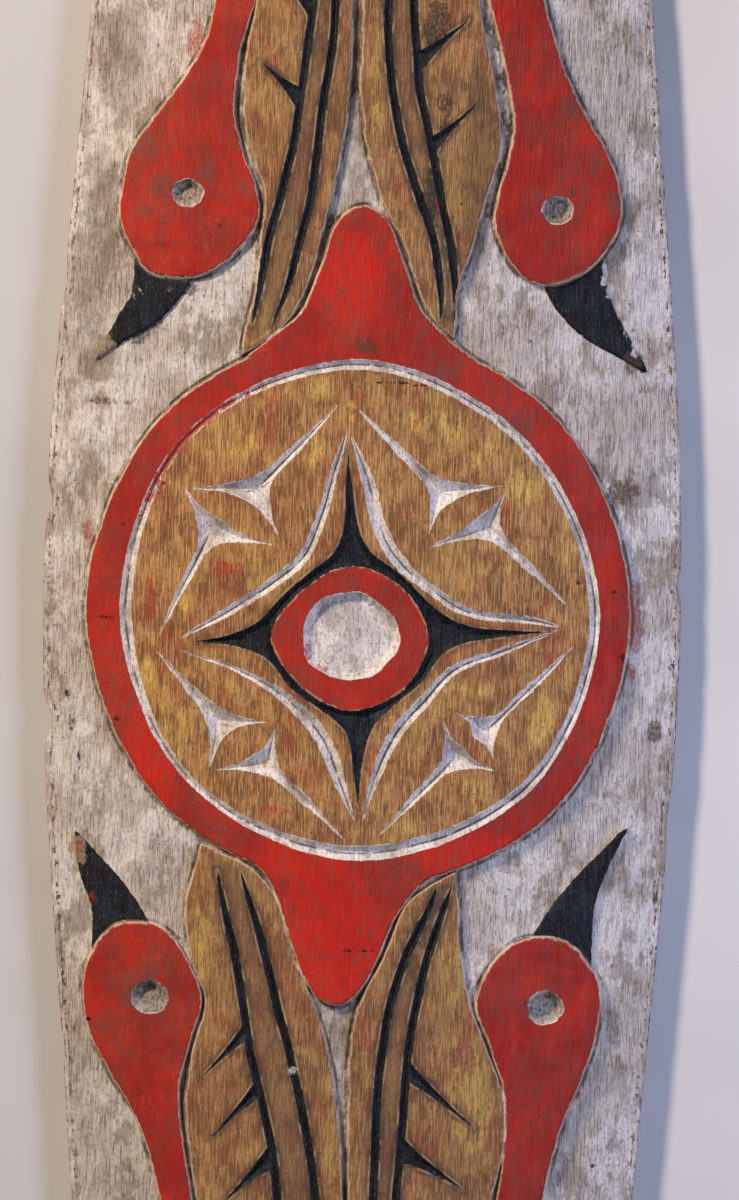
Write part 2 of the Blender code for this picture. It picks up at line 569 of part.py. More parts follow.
def shield():
    """The shield's mesh: the carved face, the chamfered side, the hollowed back and the bar for the hand."""
    outline = board_outline()
    border = moved_out(outline, -EDGE_CHAMFER)
    raised, cuts = carving()
    rows = carved_rows(raised, cuts)
    face, face_faces, (face_border,) = sheet(border, rows, grid(border, rows, GRID))
    face_z = face_height(face, raised, cuts)
    rings = grip_rings()
    mouths = [rings[0][:, :2], rings[-1][:, :2][::-1]]
    back_rows = [(hollow_edge(share), True) for share in (0, 0.25, 0.6)]
    mouth_rows = [(mouth, True) for mouth in mouths]
    back, back_faces, (back_border, *mouth_borders) = sheet(
        border, back_rows, grid(border, back_rows + mouth_rows, GRID), mouths)
    back_z = back_height(back)
    points = [np.column_stack([face, face_z]), np.column_stack([back, back_z])]
    upper = np.column_stack([outline, face_z[face_border] - EDGE_CHAMFER])
    lower = np.column_stack([outline, np.full(len(outline), EDGE_CHAMFER)])
    points += [lower, upper, *rings[1:-1]]
    starts = np.cumsum([0, *(len(block) for block in points)])
    faces = [tuple(face) for face in face_faces]
    faces += [tuple(face[::-1]) for face in back_faces + starts[1]]
    loops = [[i + starts[1] for i in back_border], list(range(starts[2], starts[3])),
             list(range(starts[3], starts[4])), face_border]
    for low, high in zip(loops, loops[1:]):
        faces += band(low, high)
    first = [i + starts[1] for i in mouth_borders[0]]
    last = [i + starts[1] for i in mouth_borders[1]][::-1]
    bar = [first, *(list(range(starts[k], starts[k + 1])) for k in range(4, len(points))), last]
    for low, high in zip(bar, bar[1:]):
        faces += [face[::-1] for face in band(low, high)]
    mesh = bpy.data.meshes.new("shield")
    mesh.from_pydata(np.concatenate(points).tolist(), [], [tuple(int(i) for i in face) for face in faces])
    mesh.update()
    return mesh


def wood():
    """The plain painted wood of the solid."""
    material = bpy.data.materials.new("painted_wood")
    material.use_nodes = True
    shader = material.node_tree.nodes["Principled BSDF"]
    shader.inputs["Base Color"].default_value = (0.42, 0.33, 0.25, 1)
    shader.inputs["Roughness"].default_value = 0.8
    return material


def build():
    """The shield as one object."""
    for old in list(bpy.data.objects):
        bpy.data.objects.remove(old, do_unlink=True)
    mesh = shield()
    mesh.materials.append(wood())
    bpy.context.collection.objects.link(bpy.data.objects.new("shield", mesh))


build()
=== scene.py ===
"""Looks of the long ceremonial shield: its fine carving, its paint, grain and wear, and the studio.

The carving is drawn as in the part's source, in hundredths of the half width (x) and of the half length (y).
"""
import math

import bpy
import numpy as np
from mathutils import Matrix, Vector
from mathutils.geometry import delaunay_2d_cdt


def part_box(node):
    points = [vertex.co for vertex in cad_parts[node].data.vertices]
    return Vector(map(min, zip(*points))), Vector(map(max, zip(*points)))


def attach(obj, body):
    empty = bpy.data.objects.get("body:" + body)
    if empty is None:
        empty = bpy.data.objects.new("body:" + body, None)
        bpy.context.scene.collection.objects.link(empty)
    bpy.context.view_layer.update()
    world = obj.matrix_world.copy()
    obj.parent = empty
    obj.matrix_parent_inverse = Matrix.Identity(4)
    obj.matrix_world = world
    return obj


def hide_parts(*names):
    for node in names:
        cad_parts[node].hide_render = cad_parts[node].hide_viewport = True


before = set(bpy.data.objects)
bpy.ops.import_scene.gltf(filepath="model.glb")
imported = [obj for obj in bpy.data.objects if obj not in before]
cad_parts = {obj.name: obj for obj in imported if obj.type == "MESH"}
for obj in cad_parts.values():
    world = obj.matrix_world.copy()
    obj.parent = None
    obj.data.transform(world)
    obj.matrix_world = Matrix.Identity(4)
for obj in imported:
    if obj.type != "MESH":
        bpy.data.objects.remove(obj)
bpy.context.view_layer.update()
LOW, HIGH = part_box("shield")
HALF_WIDTH = (HIGH.x - LOW.x) / 2
HALF_LENGTH = (HIGH.y - LOW.y) / 2
TOP = HIGH.z - LOW.z

# Board and hollow, in metres, as in the solid
EDGE_THICKNESS = 0.013
EDGE_ROUND = 0.0026
MIDDLE_THICKNESS = 0.010
RIM_WIDTH = 0.024
END_BLOCK = 0.140
GRIP_LENGTH = 0.150
GRIP_WIDTH = 0.030
GRIP_THICKNESS = 0.013
GRIP_CLEARANCE = 0.003
GRIP_FLARE = 0.005

# Carving of the face, as in the solid
RELIEF = 0.0040
BEAK_RELIEF = 0.0022
WALL_RUN = 0.0014
LEAF_GROOVE_WIDTH = 0.0044
RING_GROOVE_DEPTH = 0.0022
STAR_DEPTH = 0.0026
STAR_GROOVE_DEPTH = 0.0030
CHIP_DEPTH = 0.0045
BARB_DEPTH = 0.0020
BARB_WAIST = 0.4
BARB_NARROW = 0.42
EYE_DEPTH = 0.0050
EYE_WIDTH = 0.0170
PIT_WIDTH = 0.0510
PIT_FLOOR = 0.5
PIT_DEPTH = 0.0060
GROOVE_SLOPE = 0.9
CHIP_SLOPE = 1.0
PIT_SLOPE = 1.4
PIT_ROUGHNESS = 0.05
# How thick the lime lies on the pit's floor
PIT_LIME = 0.0020
HOLE_SLOPE = 1.6
HOLE_DEPTH = 0.0014
CROWN = TOP - EDGE_THICKNESS - RELIEF

# What only the fine mesh has: walls that end in a rounded shoulder, uneven hand-cut lines, and the marks of
# the tool on the ground, which begin at some distance from what stands up
SHOULDER = 0.0009
SHOULDER_SHARE = 0.12
CUT_BORDER = 0.0011
TAPER_SHARE = 1 / 6
TAPER_POWER = 0.7
WOBBLE = 0.00022
WOBBLE_LENGTH = 0.022
HAND_WAVE = 0.00022
HAND_WAVE_LENGTH = 0.024
SCOOP_LENGTH = 0.026
SCOOP_WIDTH = 0.013
SCOOP_DEPTH = 0.0007
SCOOP_JITTER = 0.45
SCOOP_LEAST = 0.4
SCOOP_START = 0.0014
SCOOP_RISE = 0.0040
BACK_WAVE = 2 * HAND_WAVE
BACK_WAVE_LENGTH = 0.05
# How many waves make an unevenness, how their lengths spread, and the sum that counts as 1
WAVES = 14
WAVE_SPREAD = (0.6, 1.8)
WAVE_TOP = 5.5
# The bar's section, between square at 0 and round at 1, and how much of its height is the bend at each end
GRIP_ROUNDNESS = 0.7
GRIP_BEND = 0.6
# How far the paint map reaches from an edge and from a crease, and the wear along the board's edge
WEAR_REACH = 0.010
CREASE_REACH = 0.002
EDGE_WEAR = 0.004
EDGE_BARE = 0.55
# How far the black paint of a beak runs down its wall
BLACK_OVER = 0.0012
SHARP_ANGLE = 24
# How bare the wood of the side's upper, rounded rows is, from below
UPPER_BARE = (0.75, 0.55, 0.35, 0.15)
# Dents in the board's edge: side, place along the half length in hundredths, depth and half length in metres
NICKS = [
    (-1, 7.5, 0.0030, 0.012), (-1, -9.9, 0.0046, 0.013), (1, 1.6, 0.0022, 0.009), (-1, 25, 0.0014, 0.016),
    (1, -17, 0.0015, 0.020), (1, 36, 0.0012, 0.010), (-1, -36, 0.0014, 0.014)]

# Fineness: most turn (degrees) and run (metres) between two points of a path, the grids of face and back,
# their rows' step and how far they stay from a line as shares of their spacing, and the sides of round forms
TURN = 5.0
RUN = 0.0024
GRID = 0.0034
BACK_GRID = 0.0080
GRID_STEP = 0.87
GRID_CLEAR = 0.45
SPAN_STEPS = 20
GRIP_SIDES = 40
GRIP_BEND_RINGS = 6
OVAL_SIDES = 40
OUTLINE_POINTS = 400
# Where the hollow's opening and the edge's rounding have a line of their own
BACK_SHARES = (0, 0.03, 0.25, 0.6)
ROUND_STEPS = (0.25, 0.5, 0.75, 1.0)
# The least share that lengthens a moved line's corner, how near two points are one, and how many are measured
# at once
MITRE = 0.6
MERGE = 0.00012
CHUNK = 2000
# How far the face stays below the solid's top, and how high the grain stands in the light
HEADROOM = 0.0001
BUMP_HEIGHT = 0.0008

# Camera and light. The photograph is 739 by 1200 pixels, and the board's widest part spans 638 of them.
PHOTO_HEIGHT_PX = 1200
BOARD_WIDTH_PX = 638
BOARD_MIDDLE_PX = 362.2
PHOTO_MIDDLE_PX = 369.5
METRES_PER_PX = 2 * HALF_WIDTH / BOARD_WIDTH_PX
FRAME_HEIGHT = PHOTO_HEIGHT_PX * METRES_PER_PX
CAMERA_ASIDE = (PHOTO_MIDDLE_PX - BOARD_MIDDLE_PX) * METRES_PER_PX
CAMERA_HEIGHT = 4.0
LEAN = math.radians(1.007)
SENSOR = 24
FLOOR_REACH = 6
FLOOR_GAP = 0.0004
WORLD_STRENGTH = 0.10
# Each light's name, place, size, power in watts and colour
LIGHTS = [
    ("key", (-2.10, 2.20, 1.90), 0.50, 142, "ffebd9"),
    ("fill", (0.88, -0.12, 0.76), 0.50, 8.4, "c8d2ff")]

# Marks on the paint, by their colour: place in hundredths of the half width and half length, then half the
# size across and along in millimetres
SPOTS = {
    "red stain": [
        (-55.5, 44.14, 4.8, 9), (85.4, -2.01, 2.7, 25.4), (-86, 5.18, 2.1, 10.6), (21.3, 30.72, 1.6, 6.4),
        (4.5, 29.85, 3.7, 3.7), (-42.2, 2.36, 6.4, 3.7), (-25.2, -16.66, 7.4, 3.2), (-65.9, 0.5, 2.1, 14.8),
        (-17, -4.21, 2.7, 6.4), (-12.9, -5.47, 4.2, 2.1), (-87.4, -20.12, 1.6, 3.2),
        (-82.9, -24.07, 0.3, 3.6), (-82, -26.14, 0.3, 1.6)],
    # Brown marks; the last eight, two along the upper and left inner edges of each eye, are painted shade
    "brown": [
        (81.2, 8.87, 9, 6.4), (-0.2, 19.89, 7.4, 3.2), (83.3, 19.3, 4.2, 4.8), (-79.5, 15.4, 9, 1.1),
        (92.5, -9.93, 3.2, 5.3), (62.9, 32.9, 2.1, 5.3), (87.5, 17.1, 4.2, 2.7), (-57.7, 32.75, 4.8, 1.3),
        (-60.6, 32.2, 1.3, 3.2), (57.4, 31.85, 4.2, 1.3), (54.9, 31.4, 1.3, 3.2), (-65.2, -30.75, 5, 1.3),
        (-68.7, -31.4, 1.3, 3.7), (58, -31.05, 5, 1.3), (54.5, -31.7, 1.3, 3.7)],
    "ink": [
        (20, 45.43, 6.4, 13.8), (19.7, 31.51, 3.7, 18), (23.3, 38.29, 3.2, 11.7), (-55.4, 24.33, 4.8, 2.7),
        (-60.9, 23.04, 4.8, 2.7), (-66.5, 21.74, 4.8, 2.7), (-71.4, 20.52, 4.2, 2.7),
        (-44.1, -20.72, 1.4, 6.5)],
    # White specks; the five marks along the upper right edge of the upper right bird's beak are a painted
    # highlight
    "white": [
        (-19.1, -37.16, 1.2, 1.4), (-86.5, -10.57, 4.8, 3.7), (96.5, -9.12, 3.2, 7.4),
        (-73.5, 23.78, 2.4, 2.1), (-71.7, 24.18, 1.2, 1.6), (73.7, 26.11, 1.1, 4.2), (75.7, 24.84, 1.1, 3.7),
        (78.3, 23.34, 1.3, 4.2), (80.9, 21.76, 1.1, 4.2), (83.5, 20.26, 1.1, 3.2)],
    "worn tip": [
        (-81.4, 19.84, 4.8, 6.9), (-88, -19.96, 4.8, 5.8), (-86.4, -20.83, 4.2, 4.2),
        (-61.3, 24.43, 1.6, 1.6)],
    "orange": [
        (-28.6, -13.17, 2.7, 2.1), (-26.7, -14.2, 1.6, 1.9)],
    "faded": [
        (-65, 32.48, 6.4, 6.9), (-72.5, 35.71, 9, 6.9), (-38.7, 32.28, 4.2, 5.3), (-50.7, 33.34, 5.8, 4.2),
        (-68, 30.56, 8.5, 4.8), (-70.9, -31.26, 5.3, 9), (-63.2, -29.64, 8.5, 3.7), (63.7, 39.02, 4.2, 9.5),
        (70.8, 35.48, 3.7, 7.4), (28.7, 18.58, 6.4, 4.8), (47.2, 14.05, 6.9, 6.4), (24.7, 17.93, 7.4, 4.2),
        (75.5, 31.76, 4.2, 6.4)],
    "fresh": [
        (-8.8, -26.68, 31.8, 42.4), (-65.6, -13.83, 18, 31.8), (-4.9, 25.04, 18, 26.5),
        (-18.1, -20.76, 26.5, 12.7), (35.2, -19.73, 31.8, 13.8)],
    # Dirt on the ground and leaves; the patch at (66.2, -37.89), along the right side of the lower right
    # bird's neck, is painted shade
    "dirt_and_shade": [
        (-5.7, 35.78, 12.7, 47.7), (-77.3, 42.61, 15.9, 31.8), (-88, 25, 12, 30), (34, 33, 13, 62),
        (-82.8, 30.65, 11.7, 37.1), (-85.2, 19.91, 15.9, 21.2), (-88.3, -39.38, 10.6, 47.7),
        (-2.8, -36.61, 7.4, 31.8), (66.2, -37.89, 7.4, 31.8), (86.4, 9.14, 10.6, 12.7),
        (76, -21.15, 13.8, 15.9), (-74.8, -16.24, 15.9, 8.5), (77.6, 24.21, 9.5, 31.8)],
    "gold": [
        (-43.9, 12.53, 20.1, 12.7), (-13.8, 16.8, 8.5, 6.4), (-26, 16.19, 6.4, 4.2), (15.9, 14.15, 6.4, 5.8),
        (27.2, 13.8, 7.4, 10.6), (35.5, 11.69, 7.4, 8.5), (51.3, 9.14, 11.7, 11.7), (63.6, 4.66, 4.2, 13.8),
        (-4.2, 14.7, 4.8, 6.4), (-16.2, 11.86, 6.4, 10.6), (-58, -9.41, 8.5, 14.8), (-65.5, -6.26, 5.3, 10.6),
        (-40.9, -7.34, 8.5, 3.7), (56.4, -9.29, 8.5, 13.8), (63.3, -4.49, 4.2, 14.8), (35.8, -6.84, 9.5, 4.2),
        (34.8, -14.96, 12.7, 6.4), (13.1, -18, 10.6, 3.2), (-55.5, -0.65, 4.2, 7.4), (1.5, 40.58, 4.2, 31.8),
        (22.8, 23.57, 4.8, 11.7), (-32.9, 22.13, 5.3, 10.6), (36.5, -39.61, 11.7, 26.5),
        (30.1, -28.5, 5.3, 21.2), (-48.1, -26.47, 4.2, 26.5), (-7.2, -41.4, 4.2, 26.5)]}
# Nail-sized holes and cracks, as above
HOLES = [
    (-46.6, 29.31, 1.1, 1.3), (-30.8, 17.92, 1.3, 1), (-62.4, 8.95, 1, 1), (51.2, 20.59, 1.1, 1.1),
    (67.5, 1.65, 1.1, 1.2), (74.1, -11.2, 1.3, 1.3), (-75.9, -9.73, 2.1, 1.4), (-91.7, -7.81, 1.4, 1.9),
    (-90.3, -10.11, 1.6, 4.8), (-87.9, -13.28, 0.8, 6.4), (-81.5, -1.72, 6.9, 0.7), (8.2, 17.14, 8.5, 0.7),
    (16.9, 16.94, 4.2, 0.6), (1.2, -27.68, 10.6, 0.5), (86.7, 18.6, 1.6, 1.4), (97.5, -4.9, 2.1, 1.6),
    (78.2, 0.99, 1.6, 0.8), (29.1, 31.39, 1, 1.1), (81.4, -4.25, 1.6, 2.7), (-74.8, 5.71, 1.1, 1.1),
    (-86.3, 23.48, 1.6, 1.1), (87.1, -22.2, 1.3, 1.1), (91.5, -26.65, 1, 1.6), (75.1, -44.6, 1.1, 1.1),
    (93.4, -23.05, 1.1, 7.4), (47.3, -22.7, 0.8, 0.7), (82.3, 23.76, 1.1, 0.7), (83.4, 21.78, 1.6, 0.6),
    (-83.1, -33.65, 1.6, 1.1)]
# The marks that the mesh's edges follow
SHARP_MARKS = ("red stain", "brown", "ink", "white", "orange")
# Where the ring's groove was painted over in red, as above, and how far from the middle the groove begins
RED_GROOVE = (-54.8, 12.09, 48.0, 40.0)
INSIDE_RING = (120.0, 120.0)

# Half of the board's outline, from its middle to its tip: share of the half length, share of the half width
BOARD = [(0, 100), (8, 99.4), (16, 97.9), (24, 95.5), (32, 92.9), (40, 90.3), (48, 87.7), (60, 82.8),
         (72, 76), (82, 67), (90, 54.5), (96, 36), (99.2, 16), (100, 0)]

# Round outlines about the middle of the medallion: centre, then the radius at equal steps from +X towards +Y,
# in hundredths of the half width
MEDALLION = (-1.3, -0.9)
RING_OUTER = [84.9, 86.0, 86.9, 85.9, 84.8, 85.3, 85.8, 87.0]
RING_INNER = [75.4, 74.6, 78.0, 77.0, 74.2, 75.0, 77.3, 77.4]
DISC = [72.5, 72.0, 75.0, 75.0, 70.6, 73.0, 73.0, 74.0]
EYE_RING_CENTRE = (-3.5, -3.0)
EYE_RING = [24.4, 22.4, 22.2, 20.9, 24.6, 21.5, 22.6, 22.8]
PIT_CENTRE = (-3.5, -2.9)
# How wide a share of the half length is, beside a share of the half width, on the board as drawn
DRAWN_RATIO = 0.254

# The medallion's two tongues, each from the ring's left to its right
TONGUES = [
    [(-37, 19), (-28.8, 20.7), (-20.5, 22.5), (-14.5, 26), (-9.5, 29.7), (-2.2, 31), (5, 30.1), (10.5, 27),
     (16, 23.2), (24, 20.9), (34, 19)],
    [(-36, -20), (-27, -22.3), (-21.5, -26), (-15.7, -29.9), (-9.8, -31.7), (-4.8, -31.9), (0.5, -31),
     (6, -28.6), (11, -25.4), (19, -22.6), (34, -20)]]

# Birds: the neck from the board's end to the head as (y, left x, right x), the round of the head from left to
# right, the beak from its left root to the tip and on to its right root, and the eye
BIRDS = [
    ([(83.5, -4, 4), (77, -15, -4.5), (70, -24.5, -14.5), (62, -34.5, -23.5), (54, -42.5, -31),
      (47.5, -48.5, -36.4), (44, -51.7, -40.4), (41, -58.1, -42.3), (38, -67.2, -42.4), (35, -74.8, -39.5),
      (32, -77.2, -35.1), (29.5, -77, -35)],
     [(-68.3, 25.8), (-58.9, 25.3), (-48.3, 25.9)],
     [(-72, 27.5), (-73.2, 23.9), (-77, 22.2), (-84.1, 18.9)],
     [(-84.1, 18.9), (-76.7, 20.2), (-65, 22), (-50, 27)], (-56.5, 31.9)),
    ([(83.5, -4, 4), (77, 4.5, 15.5), (70, 14.5, 26.5), (62, 23.5, 37), (54, 31, 46.5), (47.5, 36.6, 53.4),
      (44, 40.3, 57.4), (41, 43, 62), (38, 45.1, 68.6), (35, 43.5, 75.2), (32, 40.3, 78.6),
      (29.5, 39.8, 77.4)],
     [(48.3, 25.8), (57.8, 25.2), (68, 26.4)],
     [(53, 27), (58.2, 23.8), (67, 21.4), (79.1, 19.7), (87.4, 18.6)],
     [(87.4, 18.6), (82.9, 20.5), (75.6, 24), (72, 28)], (58.8, 31.1)),
    ([(-86, -5, 5), (-78, -23.5, -13.5), (-70, -36, -26.5), (-62, -46.5, -37), (-54, -54.5, -45),
      (-47.5, -59.7, -50.1), (-44, -63.4, -52.4), (-41, -68.2, -54.3), (-38, -75.5, -54.3), (-35, -82, -51.2),
      (-32, -85, -48), (-29.5, -84.2, -50.9)],
     [(-77, -26.4), (-68.2, -25.8), (-60, -26.4)],
     [(-82, -29), (-82.4, -24.9), (-86.3, -21.9), (-88.4, -18.9)],
     [(-88.4, -18.9), (-80.9, -20.8), (-71.2, -23.6), (-60, -28)], (-64, -31.7)),
    ([(-86, -5, 5), (-78, 12.5, 23), (-70, 24, 35), (-62, 33.5, 45), (-54, 40.5, 53), (-47.5, 45.3, 59),
      (-44, 47, 62), (-41, 47.6, 65.4), (-38, 46.3, 70.4), (-35, 42.3, 74.3), (-32, 37.9, 76.3),
      (-29.5, 40.5, 74.8)],
     [(48, -27.2), (56, -26.5), (65.5, -26.9)],
     [(52, -28), (60.6, -24.3), (70, -21.4), (83.6, -17.9)],
     [(83.6, -17.9), (77.6, -20.9), (73.6, -24), (73, -29)], (59.2, -32))]
# How far an eye is longer across the board than along it, and each bird's share of the eye's size
EYE_STRETCH = 1.1
EYE_SHARES = (0.89, 0.89, 1.05, 1.05)

# Leaves, from the tip beside the medallion to the tip near the board's end: the two tips, then rows of
# (y, outer edge, outer groove, inner groove, inner edge), then barbs from the outer groove as
# (y, y, tip x, tip y)
LEAVES = [
    ((-38.4, 19.3), (-7, 75),
     [(21.5, -37.2, -36, -29.5, -26.4), (24, -34.8, -33.8, -25.5, -20.2), (28, -33.2, -31.2, -21.5, -15.5),
      (32, -32.3, -27.2, -17.9, -11.6), (36, -37.6, -23.6, -16.2, -8.8), (40, -39.2, -21.7, -14.3, -7),
      (44, -38.1, -19.7, -12, -6.5), (47.5, -35.4, -18.2, -11.5, -6.5), (54, -29.3, -15.8, -11.2, -6.3),
      (62, -21.8, -13.2, -10, -5.8), (69, -13.6, -10.4, -8.8, -5.6)],
     [(38.4, 40.3, -34.4, 42.4), (45.6, 47.4, -31, 49.9), (52.6, 54.2, -25, 56.6), (59.6, 61, -18, 63.2)]),
    ((27, 20.8), (3, 75),
     [(22, 27.2, 27.1, 22.8, 21.5), (24, 27.4, 27.3, 22.9, 17.2), (28, 31.8, 25.7, 20.7, 11.4),
      (32, 36.2, 22.1, 15.3, 3.7), (36, 40.4, 19, 10.1, -0.7), (40, 38.8, 15.4, 6.9, -2.9),
      (44, 35.7, 13.8, 5.2, -2.7), (47.5, 32.9, 12.8, 4.9, -2.4), (54, 28.8, 11.8, 4.6, -2.2),
      (62, 21.5, 9.6, 4.4, -1.5), (69, 13.5, 7.6, 4.4, 0.4)],
     [(35.1, 36.5, 33.9, 39.5), (41.5, 43.3, 30.3, 46), (48.5, 50.2, 27, 53), (55.8, 57.4, 21, 60)]),
    ((-48.5, -19.6), (-5, -79),
     [(-21.5, -50.4, -43.6, -36.5, -32.4), (-24, -52.7, -41.7, -33.2, -24.9), (-28, -51.5, -37.8, -28.4, -20),
      (-32, -46.4, -35, -24.3, -13), (-36, -50, -32.1, -20, -8.2), (-40, -51.8, -28.2, -16.2, -5.6),
      (-44, -50.2, -24.7, -13.1, -3.9), (-47.5, -48, -23, -11.2, -3.1), (-54, -43, -20.5, -10.2, -2.8),
      (-62, -35, -17, -9, -2.6), (-70, -24.5, -12.5, -7, -2.6)],
     [(-33.4, -34.8, -47.6, -38), (-38, -39.4, -44.4, -42.7), (-42.9, -44.9, -40.6, -47.9),
      (-49.5, -51.2, -37.5, -55), (-56.5, -58, -31, -61.5), (-63, -64.5, -24, -67.5)]),
    ((30.2, -21.4), (5, -79),
     [(-22.6, 30.6, 29.2, 24.6, 22.6), (-24, 31.1, 27.3, 22.9, 15.6), (-28, 32.4, 22.3, 15.7, 9.2),
      (-32, 35.6, 18.9, 10.9, 1.5), (-36, 42, 16.5, 8.5, -1.1), (-40, 46.9, 15.7, 7.3, -1.1),
      (-44, 46.1, 14.7, 6.9, -1.1), (-47.5, 42.6, 13.6, 6.7, -0.8), (-54, 38.6, 12.9, 6.6, -0.6),
      (-62, 31.6, 12, 6.4, -0.2), (-70, 22, 10.5, 6.2, 0.6)],
     [(-36.1, -37.8, 37.9, -41.6), (-42.2, -44.2, 35.1, -46.5), (-49, -51, 31, -54),
      (-56.5, -58.2, 25.5, -61.5), (-63.5, -65, 19, -68)])]

# The sunk star round the eye ring: its four sides, each from one arm's tip to the next
STAR = [
    [(-5.1, 11.6), (-3.5, 8.7), (-1.9, 6.1), (2.2, 3.8), (11.7, 2.1), (22.9, -0.6), (32.7, -1.9),
     (44.9, -2.2), (57.8, -2.3)],
    [(57.8, -2.3), (45, -2.7), (32.1, -3.3), (25.6, -4.1), (18.9, -6.4), (11.2, -8.1), (4.1, -10),
     (1.4, -12.2), (-0.2, -16.3)],
    [(-0.2, -16.3), (-2, -13.1), (-4.4, -10.4), (-12, -8.8), (-21.8, -7), (-29.8, -4.7), (-38, -3.9),
     (-51.6, -3.5)],
    [(-51.6, -3.5), (-41.9, -3), (-32.5, -1.9), (-24.8, 0.2), (-16.2, 2.2), (-8.9, 3.7), (-6.1, 5.7),
     (-5.7, 8.7), (-5.1, 11.6)]]

# Grooves beside the star, each from tip to tip as (x, y, half the groove's width in hundredths of the board's
# half width)
STAR_GROOVES = [
    [(-5.4, 13.7, 0), (-9.2, 10.1, 1.2), (-13.1, 6.5, 1.5), (-18.2, 3.4, 1.6), (-28.4, 1.1, 1.5),
     (-42.9, -1.3, 1.2), (-56.6, -3.3, 0)],
    [(-4.1, 12.8, 0), (0.8, 9.7, 1.7), (4.5, 6.2, 2.2), (10, 3.5, 2.1), (21.2, 0.9, 1.5), (33.9, -0.9, 1.3),
     (52.7, -1.4, 1), (62.8, -1.9, 0)],
    [(62.8, -2, 0), (43.5, -3.9, 1), (28.5, -5.5, 1.4), (19.9, -7.9, 1.7), (11, -10.6, 1.9),
     (5.3, -13.8, 1.5), (1.5, -17.3, 0)],
    [(-56.5, -4.2, 0), (-34.8, -6.1, 1), (-21.1, -8.3, 1.7), (-11.5, -11, 2.2), (-6.6, -13.9, 1.9),
     (-1.4, -17.4, 0)]]

# Three-armed chips round the star: three tips and the middle. Then how near to the middle each side
# comes, and half the width of an arm halfway along it
CHIPS = [
    [(-8.3, 15.3), (-53.6, 8.6), (-26.4, 4.9), (-33.3, 8.6)],
    [(-55.5, 8.5), (-63.3, -3.1), (-28.3, 4.2), (-47.5, 5.2)],
    [(-3.3, 15.3), (20.3, 5.3), (42.6, 9.2), (23.8, 8.6)],
    [(44.2, 8.9), (20.3, 4.2), (63.6, -0.1), (38.7, 6)],
    [(-64, -4.3), (-46.5, -13.5), (-29.2, -9.8), (-43.9, -9.7)],
    [(-26.6, -10.4), (-44.3, -13.6), (-4.7, -18.8), (-28.6, -13)],
    [(66.2, -3.4), (30, -8.8), (41.7, -12.5), (39.8, -10)],
    [(26.2, -9.6), (6.7, -18.5), (41.8, -13.3), (29, -12.4)]]
CHIP_WAIST = 4.9
CHIP_ARM = 1.25


def place(knots):
    """Shares of the half width and half length as metres on the board."""
    return np.array([knot[:2] for knot in knots], float) * (HALF_WIDTH / 100, HALF_LENGTH / 100)


def curve(knots, closed=False):
    """A smooth path through the knots."""
    knots = np.asarray(knots, float)
    if closed:
        knots = np.concatenate([knots[-1:], knots, knots[:2]])
    else:
        knots = np.concatenate([2 * knots[:1] - knots[1:2], knots, 2 * knots[-1:] - knots[-2:-1]])
    path = []
    for a, b, c, d in zip(knots, knots[1:], knots[2:], knots[3:]):
        first = math.dist(a, b) ** 0.5
        second = first + math.dist(b, c) ** 0.5
        third = second + math.dist(c, d) ** 0.5
        t = np.linspace(first, second, SPAN_STEPS, endpoint=False)[:, None]
        ab = ((first - t) * a + t * b) / first
        bc = ((second - t) * b + (t - first) * c) / (second - first)
        cd = ((third - t) * c + (t - second) * d) / (third - second)
        abc = ((second - t) * ab + t * bc) / second
        bcd = ((third - t) * bc + (t - first) * cd) / (third - first)
        path.append(((second - t) * abc + (t - first) * bcd) / (second - first))
    if not closed:
        path.append(knots[-2:-1])
    return np.concatenate(path)


def joined(*paths):
    """One closed loop of open paths that meet at their ends, running anticlockwise."""
    loop = np.concatenate([path[:-1] for path in paths])
    x, y = loop.T
    area = (x * np.roll(y, -1) - np.roll(x, -1) * y).sum()
    return loop if area > 0 else loop[::-1]


def thinned(path, closed):
    """The points of a path that its bends and its long runs need."""
    kept = [0]
    turned = gone = 0.0
    for i in range(1, len(path) - (0 if closed else 1)):
        back = path[i] - path[i - 1]
        ahead = path[(i + 1) % len(path)] - path[i]
        gone += math.hypot(*back)
        cross = back[0] * ahead[1] - back[1] * ahead[0]
        turned += abs(math.degrees(math.atan2(cross, back @ ahead)))
        if turned > TURN or gone > RUN:
            kept.append(i)
            turned = gone = 0.0
    if not closed:
        kept.append(len(path) - 1)
    return path[kept]


def moved_out(loop, by):
    """A closed anticlockwise loop, with each point moved out by a distance."""
    ahead = np.roll(loop, -1, axis=0) - loop
    ahead /= np.hypot(*ahead.T)[:, None]
    behind = np.roll(ahead, 1, axis=0)
    out = ahead + behind
    out /= np.hypot(*out.T)[:, None]
    mitre = np.maximum((out * ahead).sum(axis=1), MITRE)
    return loop + by * np.stack([out[:, 1], -out[:, 0]], axis=1) / mitre[:, None]


def round_loop(centre, radii):
    """A round outline about a centre, from its radii at equal steps."""
    angles = np.arange(len(radii)) * 2 * math.pi / len(radii)
    radii = np.array(radii)
    around = np.stack([radii * np.cos(angles), radii * DRAWN_RATIO * np.sin(angles)], axis=1)
    return curve(place(around + centre), closed=True)


def oval(centre, width, height, rough=0.0):
    """An oval about a centre given in shares, with its size in metres and how rough its edge is."""
    angles = np.arange(OVAL_SIDES) * 2 * math.pi / OVAL_SIDES
    radius = 1 + rough * sum(np.sin(turns * (angles + centre[0])) for turns in (3, 5, 8)) / 3
    around = np.stack([width / 2 * np.cos(angles), height / 2 * np.sin(angles)], axis=1)
    return place([centre])[0] + around * radius[:, None]


